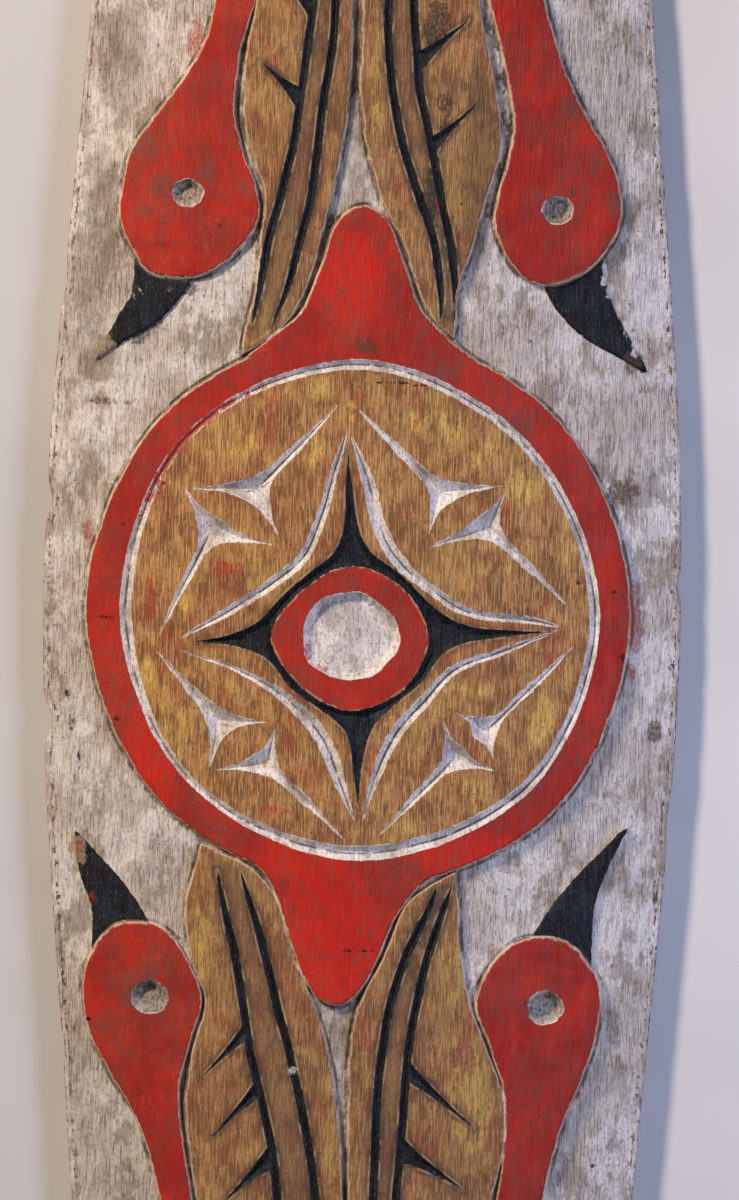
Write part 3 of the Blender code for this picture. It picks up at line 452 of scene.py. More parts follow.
def board_outline():
    """The board's outline, anticlockwise from the middle of its right side."""
    quarter = place([(width, along) for along, width in BOARD])
    mirrored = quarter[1:] * (1, -1)
    side = curve(np.concatenate([mirrored[::-1], quarter, quarter[-2::-1] * (-1, 1)]))
    first = SPAN_STEPS * len(mirrored)
    quarter = thinned(side[first:2 * first + 1], False)
    upper = np.concatenate([quarter, quarter[-2::-1] * (-1, 1)])
    return np.concatenate([upper, upper[-2:0:-1] * (1, -1)])


def half_width_at(y):
    """Half of the board's width at each place along it."""
    side = curve(place([(width, along) for along, width in BOARD]))
    return np.interp(np.abs(y), side[:, 1], side[:, 0])


def bird(neck, head, beak_left, beak_right):
    """The outlines of a neck with its head, and of a beak."""
    left = place([(x, y) for y, x, _ in neck])
    right = place([(x, y) for y, _, x in neck])
    body = joined(curve(np.concatenate([left, place(head), right[::-1]])), np.stack([right[0], left[0]]))
    root = place([beak_right[-1], beak_left[0]])
    return body, joined(curve(place(beak_left)), curve(place(beak_right)), root)


def leaf(near_tip, far_tip, rows):
    """The outline of a leaf and the middle lines of its two grooves."""
    sides = []
    for column in (1, 2, 3, 4):
        knots = [(row[column], row[0]) for row in rows]
        if column in (1, 4):
            knots = [near_tip, *knots, far_tip]
        sides.append(curve(place(knots)))
    outer, outer_groove, inner_groove, inner = sides
    return joined(outer, inner[::-1]), (outer_groove, inner_groove)


def ribbon(path, half_widths):
    """The outline of a groove that follows a path."""
    run = np.gradient(path, axis=0)
    run /= np.hypot(*run.T)[:, None]
    aside = np.stack([run[:, 1], -run[:, 0]], axis=1) * np.asarray(half_widths)[:, None]
    return joined(path + aside, (path - aside)[::-1])


def tapered(path, half_width):
    """Half widths of a groove that narrows to nothing towards its ends."""
    share = np.linspace(0, 1, len(path))
    return half_width * np.clip(np.minimum(share, 1 - share) / TAPER_SHARE, 0.02, 1) ** TAPER_POWER


def unit(vector):
    """A vector's direction."""
    return vector / math.hypot(*vector)


def chip(first, second, third, middle):
    """The outline of a three-armed chip, and its creases from the middle to its tips."""
    tips = place([first, second, third])
    middle = place([middle])[0]
    sides = []
    for start, end in zip(tips, np.roll(tips, -1, axis=0)):
        out = unit((start + end) / 2 - middle)
        knots = [start, middle + out * CHIP_WAIST * HALF_WIDTH / 100, end]
        for at, tip in ((1, start), (3, end)):
            arm = unit(tip - middle)
            aside = unit(out - (out @ arm) * arm)
            knots.insert(at, (middle + tip) / 2 + aside * CHIP_ARM * HALF_WIDTH / 100)
        sides.append(curve(knots))
    return joined(*sides), [np.stack([middle, (middle + tip) / 2, tip]) for tip in tips]


def barb(groove, near, far, tip):
    """The outline of a barb that leaves a leaf's outer groove, and its creases."""
    order = np.argsort(groove[:, 1])
    base = np.interp(np.array([near, far]) * HALF_LENGTH / 100, groove[order, 1], groove[order, 0])
    near, far = (np.array([x, share * HALF_LENGTH / 100]) for x, share in zip(base, (near, far)))
    root, tip = (near + far) / 2, place([tip])[0]
    sides = []
    for corner in (near, far):
        waist = root + BARB_WAIST * (tip - root) + BARB_NARROW * (corner - root)
        sides.append(curve([corner, waist, tip]))
    return joined(sides[0], sides[1][::-1], np.stack([far, near])), [curve([root, tip])]


def nearest(path, point):
    """Which point of a path is nearest to a point."""
    return int(np.hypot(*(path - point).T).argmin())


def pit(centre, width, height, depth):
    """A round pit with a sloping wall and a rough edge, as one of the cuts."""
    mouth = oval(centre, width, height, PIT_ROUGHNESS)
    floor = oval(centre, width * PIT_FLOOR, height * PIT_FLOOR)
    return mouth, None, PIT_SLOPE, depth, [np.concatenate([floor, floor[:1]])]


def gap(points, path, closed, reach):
    """How far each point is from a path, up to a reach."""
    found = np.full(len(points), reach)
    low, high = path.min(axis=0) - reach, path.max(axis=0) + reach
    near = np.nonzero(((points > low) & (points < high)).all(axis=1))[0]
    start = path if closed else path[:-1]
    run = (np.roll(path, -1, axis=0) if closed else path[1:]) - start
    size = (run ** 2).sum(axis=1) + 1e-18
    for first in range(0, len(near), CHUNK):
        some = near[first:first + CHUNK]
        offset = points[some, None] - start
        share = np.clip((offset * run).sum(axis=2) / size, 0, 1)
        away = offset - share[..., None] * run
        found[some] = np.minimum(reach, np.sqrt((away ** 2).sum(axis=2).min(axis=1)))
    return found


def within(points, loop):
    """Whether each point is inside a closed loop."""
    near = np.nonzero(((points > loop.min(axis=0)) & (points < loop.max(axis=0))).all(axis=1))[0]
    x, y = points[near].T
    crossed = np.zeros(len(near), bool)
    for (ax, ay), (bx, by) in zip(loop, np.roll(loop, -1, axis=0)):
        between = (ay > y) != (by > y)
        crossed ^= between & (x < ax + (y - ay) * (bx - ax) / (by - ay if by != ay else 1))
    inside = np.zeros(len(points), bool)
    inside[near] = crossed
    return inside


def depth_in(points, loop, reach):
    """How deep each point is inside a loop, below zero outside it."""
    return gap(points, loop, True, reach) * np.where(within(points, loop), 1, -1)


def marked(mark):
    """The outline of a mark."""
    x, y, across, along = mark
    return oval((x, y), across / 500, along / 500)


def carving():
    """What stands up, as (kind, outline, height), and what is cut in, as
    (kind, outline, island or None, slope, depth, creases)."""
    raised = [("ring", round_loop(MEDALLION, RING_OUTER), RELIEF)]
    for knots in TONGUES:
        raised.append(("ring", joined(curve(place(knots)), curve(place([knots[-1], knots[0]]))), RELIEF))
    cuts = []
    ring_inner, disc = round_loop(MEDALLION, RING_INNER), round_loop(MEDALLION, DISC)
    cuts.append(("ring groove", ring_inner, disc, GROOVE_SLOPE, RING_GROOVE_DEPTH, [(ring_inner + disc) / 2]))
    for (neck, head, beak_left, beak_right, eye), share in zip(BIRDS, EYE_SHARES):
        body, beak = bird(neck, head, beak_left, beak_right)
        raised += [("bird", body, RELIEF), ("beak", beak, BEAK_RELIEF)]
        cuts.append(("eye", *pit(eye, share * EYE_WIDTH * EYE_STRETCH, share * EYE_WIDTH, EYE_DEPTH)))
    for near_tip, far_tip, rows, barbs in LEAVES:
        outline, grooves = leaf(near_tip, far_tip, rows)
        raised.append(("leaf", outline, RELIEF))
        for path in grooves:
            loop = ribbon(path, tapered(path, LEAF_GROOVE_WIDTH / 2))
            cuts.append(("leaf groove", loop, None, GROOVE_SLOPE, LEAF_GROOVE_WIDTH, [path]))
        for near, far, *tip in barbs:
            loop, creases = barb(grooves[0], near, far, tip)
            cuts.append(("barb", loop, None, GROOVE_SLOPE, BARB_DEPTH, creases))
    eye_ring = round_loop(EYE_RING_CENTRE, EYE_RING)
    channel = moved_out(eye_ring, STAR_DEPTH / CHIP_SLOPE)
    arms = [curve([place(side)[0], channel[nearest(channel, place(side)[0])]]) for side in STAR]
    star = joined(*(curve(place(side)) for side in STAR))
    cuts.append(("star", star, eye_ring, CHIP_SLOPE, STAR_DEPTH, [channel, *arms]))
    for knots in STAR_GROOVES:
        path = curve(place(knots))
        widths = curve([(knot[2], i) for i, knot in enumerate(knots)])[:, 0] * HALF_WIDTH / 100
        loop = ribbon(path, widths.clip(0.0001))
        cuts.append(("star groove", loop, None, GROOVE_SLOPE, STAR_GROOVE_DEPTH, [path]))
    for points in CHIPS:
        loop, creases = chip(*points)
        cuts.append(("chip", loop, None, CHIP_SLOPE, CHIP_DEPTH, creases))
    cuts.append(("pit", *pit(PIT_CENTRE, PIT_WIDTH, PIT_WIDTH / EYE_STRETCH, PIT_DEPTH - PIT_LIME)))
    for mark in HOLES:
        cuts.append(("hole", marked(mark), None, HOLE_SLOPE, HOLE_DEPTH, []))
    return raised, cuts


def waves(points, length, seed):
    """A gentle, hand-made unevenness from about -1 to 1, with a typical wave length in metres."""
    draw = np.random.default_rng(seed)
    total = np.zeros(len(points))
    for _ in range(WAVES):
        angle, phase = draw.uniform(0, 2 * math.pi, 2)
        pitch = 2 * math.pi / (length * draw.uniform(*WAVE_SPREAD))
        total += np.sin(pitch * (points[:, 0] * math.cos(angle) + points[:, 1] * math.sin(angle)) + phase)
    return total / WAVE_TOP


def scoops(points):
    """Depth of the shallow, lengthwise scoops that the carver's tool left."""
    draw = np.random.default_rng(8)
    size = np.array([SCOOP_WIDTH, SCOOP_LENGTH])
    steps = np.ceil(np.array([HALF_WIDTH, HALF_LENGTH]) / size).astype(int) + 1
    cells = np.stack(np.meshgrid(*(np.arange(-n, n + 1) for n in steps)), axis=-1).reshape(-1, 2)
    middles = cells + draw.uniform(-SCOOP_JITTER, SCOOP_JITTER, cells.shape)
    share = draw.uniform(SCOOP_LEAST, 1, len(cells))
    deep = np.zeros(len(points))
    for first in range(0, len(points), CHUNK):
        away = points[first:first + CHUNK, None] / size - middles
        deep[first:first + CHUNK] = (share * (1 - (away ** 2).sum(axis=2).clip(0, 1))).max(axis=1)
    return SCOOP_DEPTH * deep


def depths(points, raised, cuts):
    """How deep each point is in every outline, as (kind, depths), for what stands up and what is cut in."""
    up = [(kind, depth_in(points, loop, WEAR_REACH)) for kind, loop, _ in raised]
    down = []
    for kind, loop, island, _, _, _ in cuts:
        deep = depth_in(points, loop, WEAR_REACH)
        if island is not None:
            deep = np.minimum(deep, -depth_in(points, island, WEAR_REACH))
        down.append((kind, deep))
    return up, down


def ground_height(points):
    """Height of the bowed board with no carving."""
    x, y = points.T
    across = np.clip(x / np.maximum(half_width_at(y), 0.001), -1, 1)
    along = np.clip(np.abs(y) / HALF_LENGTH, 0, 1)
    return EDGE_THICKNESS + CROWN * (1 - along ** 4) * (1 - across ** 2)


def face_height(points, raised, cuts, up, down):
    """Height of the carved face, with the walls' shoulders worn round and the surface worked by hand."""
    rise = np.zeros(len(points))
    for (_, _, high), (_, deep) in zip(raised, up):
        wall = (1 - SHOULDER_SHARE) * np.clip(1 + deep / WALL_RUN, 0, 1)
        shoulder = SHOULDER_SHARE * np.clip(deep / SHOULDER, 0, 1) ** 0.5
        rise = np.maximum(rise, high * (wall + shoulder))
    cut = np.zeros(len(points))
    for (_, _, _, slope, depth, _), (_, deep) in zip(cuts, down):
        cut = np.maximum(cut, np.clip(slope * deep, 0, depth))
    worked = HAND_WAVE * (waves(points, HAND_WAVE_LENGTH, 5) - 1.2)
    away = -deepest(up, "ring", "bird", "leaf", "beak")
    lowered = np.clip((away - SCOOP_START) / SCOOP_RISE, 0, 1)
    return ground_height(points) + rise - cut + np.minimum(worked, 0) - lowered * scoops(points)


def deepest(found, *kinds):
    """The greatest depth in any outline of some kinds."""
    return np.max([deep for kind, deep in found if kind in kinds], axis=0)


def paint_map(points, up, down):
    """For each point, how far it is inside each colour's area, in metres, by the colour's name."""
    ring_hole = depth_in(points, round_loop(MEDALLION, RING_INNER), WEAR_REACH)
    eye_ring = depth_in(points, round_loop(EYE_RING_CENTRE, EYE_RING), WEAR_REACH)
    ring = np.minimum(deepest(up, "ring"), -ring_hole)
    pits = deepest(down, "eye", "pit")
    disc = depth_in(points, round_loop(MEDALLION, DISC), WEAR_REACH)
    ribs = []
    for near_tip, far_tip, rows, _ in LEAVES:
        _, (outer, inner) = leaf(near_tip, far_tip, rows)
        ends = place([near_tip])[0], place([far_tip])[0]
        rib = joined(np.stack([ends[0], outer[0]]), outer, np.stack([outer[-1], ends[1], inner[-1]]),
                     inner[::-1], np.stack([inner[0], ends[0]]))
        ribs.append(depth_in(points, rib, WEAR_REACH))
    marks = {name: np.max([depth_in(points, marked(mark), WEAR_REACH) for mark in SPOTS[name]], axis=0)
             for name in SPOTS}
    creases = [crease for kind, *_, lines in carving()[1] if kind in ("star groove", "ring groove")
               for crease in lines]
    return {
        **marks,
        "hole": deepest(down, "hole"),
        "eye": deepest(down, "eye"),
        "leaf": deepest(up, "leaf"),
        "raised": deepest(up, "ring", "bird", "leaf"),
        "red": np.maximum.reduce([ring, deepest(up, "bird"), np.minimum(eye_ring, -pits)]),
        "ochre": np.maximum(np.minimum(disc, -eye_ring), deepest(up, "leaf")),
        "rib": np.max(ribs, axis=0),
        "crease": np.min([gap(points, crease, False, CREASE_REACH) for crease in creases], axis=0),
        "black": np.maximum(deepest(down, "leaf groove", "barb", "star"),
                            np.minimum(deepest(up, "beak") + BLACK_OVER, -deepest(up, "bird"))),
        "lime": np.maximum(pits, deepest(down, "ring groove", "star groove", "chip")),
    }


def back_share(points):
    """How far the hollow has opened at each point: 1 in its middle, 0 at its edge and on the rim."""
    x, y = points.T
    across = x / np.maximum(half_width_at(y) - RIM_WIDTH, 0.001)
    along = y / (HALF_LENGTH - END_BLOCK)
    return np.clip(1 - across ** 2 - along ** 6, 0, 1)


def back_height(points):
    """Height of the hollowed back at each point."""
    return (EDGE_THICKNESS + CROWN - MIDDLE_THICKNESS) * back_share(points)


def hollow_edge(share):
    """The line on which the hollow has opened by a share, anticlockwise."""
    angles = np.arange(OUTLINE_POINTS) * 2 * math.pi / OUTLINE_POINTS
    cos, sin = np.cos(angles), np.sin(angles)
    along = np.sign(sin) * np.abs(sin) ** (1 / 3) * (1 - share) ** (1 / 6) * (HALF_LENGTH - END_BLOCK)
    across = cos * (1 - share) ** 0.5 * (half_width_at(along) - RIM_WIDTH)
    return np.stack([across, along], axis=1)


def grip_rings():
    """The rings of the bar for the hand, from the hollow's roof at -Y, along, and back to the roof at +Y."""
    angles = np.arange(GRIP_SIDES) * 2 * math.pi / GRIP_SIDES
    flat, deep = (np.sign(v) * np.abs(v) ** GRIP_ROUNDNESS for v in (np.cos(angles), np.sin(angles)))
    roof = EDGE_THICKNESS + CROWN - MIDDLE_THICKNESS
    level = GRIP_CLEARANCE + GRIP_THICKNESS / 2
    bend = GRIP_BEND * (roof - level)
    rings = []
    for turn in np.linspace(0, math.pi / 2, GRIP_BEND_RINGS):
        flare = GRIP_FLARE * (1 - math.sin(turn)) ** 2
        wide = (GRIP_WIDTH / 2 + flare) * flat
        thick = (GRIP_THICKNESS / 2 + flare) * deep
        y = -GRIP_LENGTH / 2 + bend * (1 - math.cos(turn)) + thick * math.cos(turn)
        z = level + bend * (1 - math.sin(turn)) + thick * math.sin(turn)
        rings.append(np.stack([wide, y, z], axis=1))
    first = rings[0].copy()
    first[:, 2] = back_height(first[:, :2])
    rings = [first, *rings]
    return rings + [ring * (1, -1, 1) for ring in rings[::-1]]


def grid(border, rows, spacing):
    """Points of a staggered grid inside a border and clear of every row."""
    low, high = border.min(axis=0), border.max(axis=0)
    points = []
    for j, y in enumerate(np.arange(low[1] + spacing / 2, high[1], spacing * GRID_STEP)):
        xs = np.arange(-(high[0] // spacing) * spacing, high[0], spacing) + (j % 2) * spacing / 2
        points.append(np.stack([xs, np.full(len(xs), y)], axis=1))
    points = np.concatenate(points)
    points = points[depth_in(points, border, spacing) > spacing / 2]
    for path, closed in rows:
        points = points[gap(points, path, closed, spacing) > spacing * GRID_CLEAR]
    return points


def sheet(border, rows, extra, holes=()):
    """Triangles over the area inside a border, with an edge along every row. Gives its points, its triangles
    and, for the border and each hole in turn, which of its points they are."""
    points, edges, spans = [], [], []
    for path, closed in [(border, True), *((hole, True) for hole in holes), *rows]:
        first = len(points)
        points += [Vector(p) for p in path]
        edges += [(first + i, first + i + 1) for i in range(len(path) - 1)]
        if closed:
            edges.append((first + len(path) - 1, first))
        spans.append(range(first, len(points)))
    points += [Vector(p) for p in extra]
    made, _, faces, sources, _, _ = delaunay_2d_cdt(points, edges, [], 0, MERGE, True)
    made = np.array(made)
    faces = np.array(faces)
    middles = made[faces].mean(axis=1)
    keep = within(middles, border)
    for hole in holes:
        keep &= ~within(middles, hole)
    places = {source: i for i, given in enumerate(sources) for source in given}
    return made, faces[keep], [[places[i] for i in span] for span in spans[:1 + len(holes)]]


def band(lower, upper):
    """Faces between two loops of as many points, which are given anticlockwise from above."""
    size = len(lower)
    return [(lower[i], lower[(i + 1) % size], upper[(i + 1) % size], upper[i]) for i in range(size)]


def nicked(loop):
    """A loop beside the board's edge, with the dents in it."""
    y = loop[:, 1] / HALF_LENGTH * 100
    inward = np.zeros(len(loop))
    for side, along, deep, reach in NICKS:
        away = (y - along) * HALF_LENGTH / 100 / reach
        inward += deep * np.exp(-away ** 2 * 2) * (np.sign(loop[:, 0]) == side)
    return loop - np.stack([np.sign(loop[:, 0]) * inward, np.zeros(len(loop))], axis=1)


def rounded_rows(outline, face_z):
    """The loops of the board's side, from the back's border up to the face's, as (points, heights)."""
    turns = [(moved_out(outline, -EDGE_ROUND * (1 - math.sin(share * math.pi / 2))),
              EDGE_ROUND * (1 - math.cos(share * math.pi / 2))) for share in ROUND_STEPS]
    return turns + [(loop, face_z - rise) for loop, rise in turns[::-1]]


def carved_rows(raised, cuts):
    """The lines that the face's triangles follow."""
    rows = []
    for _, loop, _ in raised:
        top = thinned(loop, True)
        rows += [(top, True), (moved_out(top, WALL_RUN), True), (moved_out(top, -SHOULDER), True)]
    rows += [(marked(mark), True) for name in SHARP_MARKS for mark in SPOTS[name]]
    for kind, loop, island, _, _, creases in cuts:
        edge = thinned(loop, True)
        rows.append((edge, True))
        if kind != "hole":
            rows.append((moved_out(edge, CUT_BORDER), True))
        if island is not None:
            edge = thinned(island, True)
            rows += [(edge, True), (moved_out(edge, -CUT_BORDER), True)]
        rows += [(thinned(crease, False), False) for crease in creases]
    return rows


def shield():
    """The shield's fine mesh, with the paint map in its attributes."""
    outline = nicked(board_outline())
    border = moved_out(outline, -EDGE_ROUND)
    raised, cuts = carving()
    rows = carved_rows(raised, cuts)
    face, face_faces, (face_border,) = sheet(border, rows, grid(border, rows, GRID))
    up, down = depths(face, raised, cuts)
    face_z = face_height(face, raised, cuts, up, down)
    face_z *= min(1, (TOP - HEADROOM) / face_z.max())
    rings = grip_rings()
    mouths = [rings[0][:, :2], rings[-1][:, :2][::-1]]
    back_rows = [(hollow_edge(share), True) for share in BACK_SHARES]
    mouth_rows = [(mouth, True) for mouth in mouths]
    back_points = grid(border, back_rows + mouth_rows, BACK_GRID)
    back, back_faces, borders = sheet(border, back_rows, back_points, mouths)
    hewn = BACK_WAVE * back_share(back) ** 0.5 * (waves(back, BACK_WAVE_LENGTH, 9) - 1)
    back_z = np.maximum(back_height(back) + hewn, 0)
    for mouth, ring in zip(borders[1:], (rings[0], rings[-1][::-1])):
        back_z[mouth] = ring[:, 2]
    side = [np.column_stack([loop, np.broadcast_to(z, len(loop))])
            for loop, z in rounded_rows(outline, face_z[face_border])]
    inset = np.clip(depth_in(face, border, 0.01) / 0.01, 0, 1)[:, None]
    aside = np.stack([waves(face, WOBBLE_LENGTH, seed) for seed in (3, 4)], axis=1)
    drawn = face + WOBBLE * inset * aside
    blocks = [np.column_stack([drawn, face_z]), np.column_stack([back, back_z]), *side, *rings[1:-1]]
    starts = np.cumsum([0, *(len(block) for block in blocks)])
    faces = [tuple(face) for face in face_faces]
    faces += [tuple(face[::-1]) for face in back_faces + starts[1]]
    spans = [range(first, last) for first, last in zip(starts, starts[1:])]
    back_border, near_mouth, far_mouth = ([i + starts[1] for i in span] for span in borders)
    loops = [back_border, *spans[2:2 + len(side)], face_border]
    for low, high in zip(loops, loops[1:]):
        faces += band(low, high)
    bar = [near_mouth, *spans[2 + len(side):], far_mouth[::-1]]
    for low, high in zip(bar, bar[1:]):
        faces += [face[::-1] for face in band(low, high)]
    mesh = bpy.data.meshes.new("carved_shield")
    mesh.from_pydata(np.concatenate(blocks).tolist(), [], [tuple(int(i) for i in face) for face in faces])
    paint = paint_map(face, up, down)
    paint["bare"] = EDGE_BARE * (1 - gap(face, border, True, EDGE_WEAR) / EDGE_WEAR)
    bare = np.ones(len(mesh.vertices) - len(face))
    for k, share in enumerate(UPPER_BARE):
        row = spans[2 + len(side) - len(UPPER_BARE) + k]
        bare[row[0] - len(face):row[-1] + 1 - len(face)] = share
    for name, values in paint.items():
        layer = mesh.attributes.new(name, "FLOAT", "POINT")
        rest = bare if name == "bare" else np.full(len(bare), -WEAR_REACH)
        layer.data.foreach_set("value", np.append(values, rest))
    mesh.shade_smooth()
    mesh.set_sharp_from_angle(angle=math.radians(SHARP_ANGLE))
    mesh.update()
    return mesh


def rgb(code):
    """A colour written as six hex digits, as linear red, green, blue and alpha."""
    parts = [int(code[i:i + 2], 16) / 255 for i in (0, 2, 4)]
    return tuple(v / 12.92 if v < 0.04045 else ((v + 0.055) / 1.055) ** 2.4 for v in parts) + (1.0,)


class Graph:
    """Short names for the shader nodes that a material is made of."""

    def __init__(self, name):
        self.material = bpy.data.materials.new(name)
        self.material.use_nodes = True
        self.nodes = self.material.node_tree.nodes
        self.shader = self.nodes["Principled BSDF"]
        self.place = self.nodes.new("ShaderNodeTexCoord").outputs["Object"]

    def put(self, socket, value):
        if isinstance(value, bpy.types.NodeSocket):
            self.material.node_tree.links.new(value, socket)
        else:
            socket.default_value = value

    def node(self, kind, *values):
        """A new node, with its first inputs joined to sockets or set to values."""
        node = self.nodes.new("ShaderNode" + kind)
        for socket, value in zip(node.inputs, values):
            self.put(socket, value)
        return node

    def math(self, operation, *values):
        node = self.node("Math", *values)
        node.operation = operation
        return node.outputs[0]

    def step(self, value, low, high, bottom=0.0, top=1.0):
        """A smooth step from bottom at low to top at high."""
        node = self.node("MapRange", value, low, high, bottom, top)
        node.interpolation_type = "SMOOTHSTEP"
        return node.outputs[0]

    def moved(self, scale, shift=(0, 0, 0)):
        """The place on the board, scaled and shifted along each axis."""
        node = self.node("VectorMath", self.place, scale, shift)
        node.operation = "MULTIPLY_ADD"
        return node.outputs[0]

    def noise(self, per_metre, length=1.0, detail=3.0, roughness=0.6, seed=0):
        """Noise with so many waves to a metre across the board, and its waves some times longer along it."""
        where = self.moved((1, 1 / length, 1), (seed, seed, 0))
        node = self.node("TexNoise", where, 0.0, per_metre, detail, roughness)
        node.noise_dimensions = "2D"
        return node.outputs[0]

    def mix(self, share, first, second):
        node = self.node("Mix")
        node.data_type = "RGBA"
        for socket, value in zip((node.inputs[0], node.inputs[6], node.inputs[7]), (share, first, second)):
            self.put(socket, value)
        return node.outputs[2]

    def both(self, first, second):
        return self.math("MULTIPLY", first, second)

    def over(self, below, share, code, strength=1.0):
        """A colour laid over what is below it, where its share says and as strongly."""
        if strength != 1:
            share = self.both(share, strength)
        return self.mix(share, below, rgb(code) if isinstance(code, str) else code)

    def layers(self, below, rows):
        """Colours laid one over another, each where a noise rises from low to high, as (noise, low, high,
        colour, strength), and at will a share that masks it."""
        for noise, low, high, code, strength, *masks in rows:
            share = self.step(noise, low, high)
            for mask in masks:
                share = self.both(share, mask)
            below = self.over(below, share, code, strength)
        return below

    def map(self, name):
        """A value of the mesh's paint map."""
        node = self.node("Attribute")
        node.attribute_name = name
        return node.outputs["Fac"]

    def spot(self, uneven, x, y, across, along):
        """A mark with a ragged outline at a place on the board."""
        across, along = across / 1000, along / 1000
        middle = (-x * HALF_WIDTH / 100 / across, -y * HALF_LENGTH / 100 / along, 0)
        node = self.node("VectorMath", self.moved((1 / across, 1 / along, 0), middle))
        node.operation = "LENGTH"
        return self.step(self.math("ADD", node.outputs["Value"], uneven), 1.1, 0.7)


def painted_wood():
    """Lime, red, ochre and black paint on worn wood, laid out by the mesh's paint map."""
    g = Graph("painted_wood")
    fibre = g.noise(1150, 15, 1, 0.7)
    grain = g.noise(600, 9, 2, 0.7)
    streak = g.noise(210, 5, 3, 0.7)
    broad = g.noise(74, 1.6, 4, 0.72)
    blotch = g.noise(20, 1.3, 5, 0.66)
    grit = g.noise(700, 1.5, 2, 0.7, 5)
    lumps = g.noise(120, 1.8, 3, 0.6)
    stain = g.noise(45, 1.8, 4, 0.72, 7)
    drift = g.math("SUBTRACT", broad, 0.5)
    uneven = g.math("MULTIPLY", g.math("SUBTRACT", g.noise(330, 1.5, 2, 0.75), 0.5), 2.4)
    ragged = g.math("MULTIPLY", uneven, 0.0006)
    blurred = g.math("MULTIPLY_ADD", drift, 0.012, g.both(uneven, 0.0016))

    def area(name, soft=0.00016, rough=ragged):
        """Where a colour of the paint map lies, with a soft and rough edge."""
        return g.step(g.math("ADD", g.map(name), rough), -soft, soft)

    def patch(name, reach=0.02, soft=0.006):
        """Where a large patch lies, with an edge that drifts far."""
        return g.step(g.math("MULTIPLY_ADD", drift, reach, g.map(name)), -0.003, soft)

    def line(name, shift, wide=0.0006, narrow=0.0001):
        """A line along the edge of a colour of the paint map, shifted outwards."""
        return g.step(g.math("ABSOLUTE", g.math("ADD", g.map(name), shift)), wide, narrow)

    # The first mask holds the dirt patches, one of them painted shade beside the lower right bird's neck
    soiled_and_shaded, fresh, faded = patch("dirt_and_shade"), patch("fresh"), patch("faded", 0.022, 0.003)

    lime = g.mix(g.step(blotch, 0.42, 0.58), rgb("e2dbd3"), rgb("c9beb2"))
    lime = g.layers(lime, [
        (broad, 0.50, 0.66, "a89a88", 0.55),
        (stain, 0.54, 0.64, "86745a", 0.6),
        (streak, 0.56, 0.72, "968a7b", 0.4)])
    lime = g.over(lime, g.both(soiled_and_shaded, g.step(stain, 0.36, 0.56, 0.4)), "7b6a57", 0.55)
    lime = g.layers(lime, [
        (grit, 0.54, 0.68, "7f7468", 0.35),
        (grain, 0.54, 0.66, "7a6f65", 0.4),
        (fibre, 0.55, 0.66, "574d44", 0.55, g.step(blotch, 0.36, 0.58, 0.3))])

    red = g.mix(g.step(blotch, 0.40, 0.60), rgb("b01b10"), rgb("cf240c"))
    red = g.layers(red, [
        (broad, 0.48, 0.66, "93251a", 0.5),
        (stain, 0.44, 0.58, "7a3f33", 0.6, g.step(grit, 0.40, 0.58)),
        (grain, 0.50, 0.62, "7b4a3d", 0.5, g.step(stain, 0.40, 0.54, 0.15)),
        (fibre, 0.53, 0.64, "6e5246", 0.5, g.step(blotch, 0.40, 0.60, 0.25)),
        (fibre, 0.44, 0.34, "e2583a", 0.35, g.step(broad, 0.50, 0.38)),
        (fibre, 0.64, 0.52, "d41f08", 0.6, fresh)])
    red = g.over(red, g.math("SUBTRACT", 1.0, fresh), "8a2c20", 0.3)
    red = g.over(red, g.both(faded, g.step(grit, 0.62, 0.44, 0.35)), "6d4a3e", 0.62)

    # Darkening beside the black grooves and the star: painted shade, with smudges
    black_smudge_and_shade = g.both(g.step(g.map("black"), -0.0042, -0.0003), g.step(stain, 0.38, 0.54, 0.5))
    ochre = g.mix(g.step(broad, 0.42, 0.58), rgb("bb8750"), rgb("926239"))
    ochre = g.over(ochre, g.step(g.noise(34, 1.4, 3, 0.7, 3), 0.53, 0.61), "c89c55", 0.5)
    gilt = g.both(g.step(broad, 0.64, 0.52, 0.35), g.step(streak, 0.60, 0.42, 0.3))
    ochre = g.over(ochre, g.both(patch("gold", soft=0.003), gilt), "ddb45a", 0.95)
    ochre = g.layers(ochre, [
        (stain, 0.56, 0.63, "a64f31", 0.6),
        (blotch, 0.50, 0.62, "a0603c", 0.45),
        (streak, 0.54, 0.70, "7a5233", 0.35),
        (grain, 0.53, 0.65, "61442d", 0.4),
        (grit, 0.56, 0.70, "5a422e", 0.4),
        (fibre, 0.54, 0.66, "4f3a28", 0.4),
        (fibre, 0.46, 0.34, "e6cc8c", 0.3)])
    leaf_wood = g.over(ochre, g.step(g.map("rib"), 0.0, 0.0004, 0.35, 0.8), "6b5340", 0.72)
    leaf_wood = g.over(leaf_wood, soiled_and_shaded, "5c4531", 0.45)
    # Painted shade and smudges beside the black, on the leaves and on the disc
    leaf_wood = g.over(leaf_wood, black_smudge_and_shade, "332f2c", 0.68)
    ochre = g.over(ochre, black_smudge_and_shade, "4a362a", 0.5)

    black = g.mix(g.step(broad, 0.42, 0.66), rgb("090e16"), rgb("172029"))
    black = g.layers(black, [
        (grit, 0.58, 0.72, "57524b", 0.5),
        (fibre, 0.58, 0.70, "57544f", 0.25)])

    # Grey-brown for the birds' eye pits: painted shade in the recess, with dirt
    dirt_and_shade = g.mix(g.step(grit, 0.42, 0.62), rgb("9a8c7c"), rgb("5e5146"))
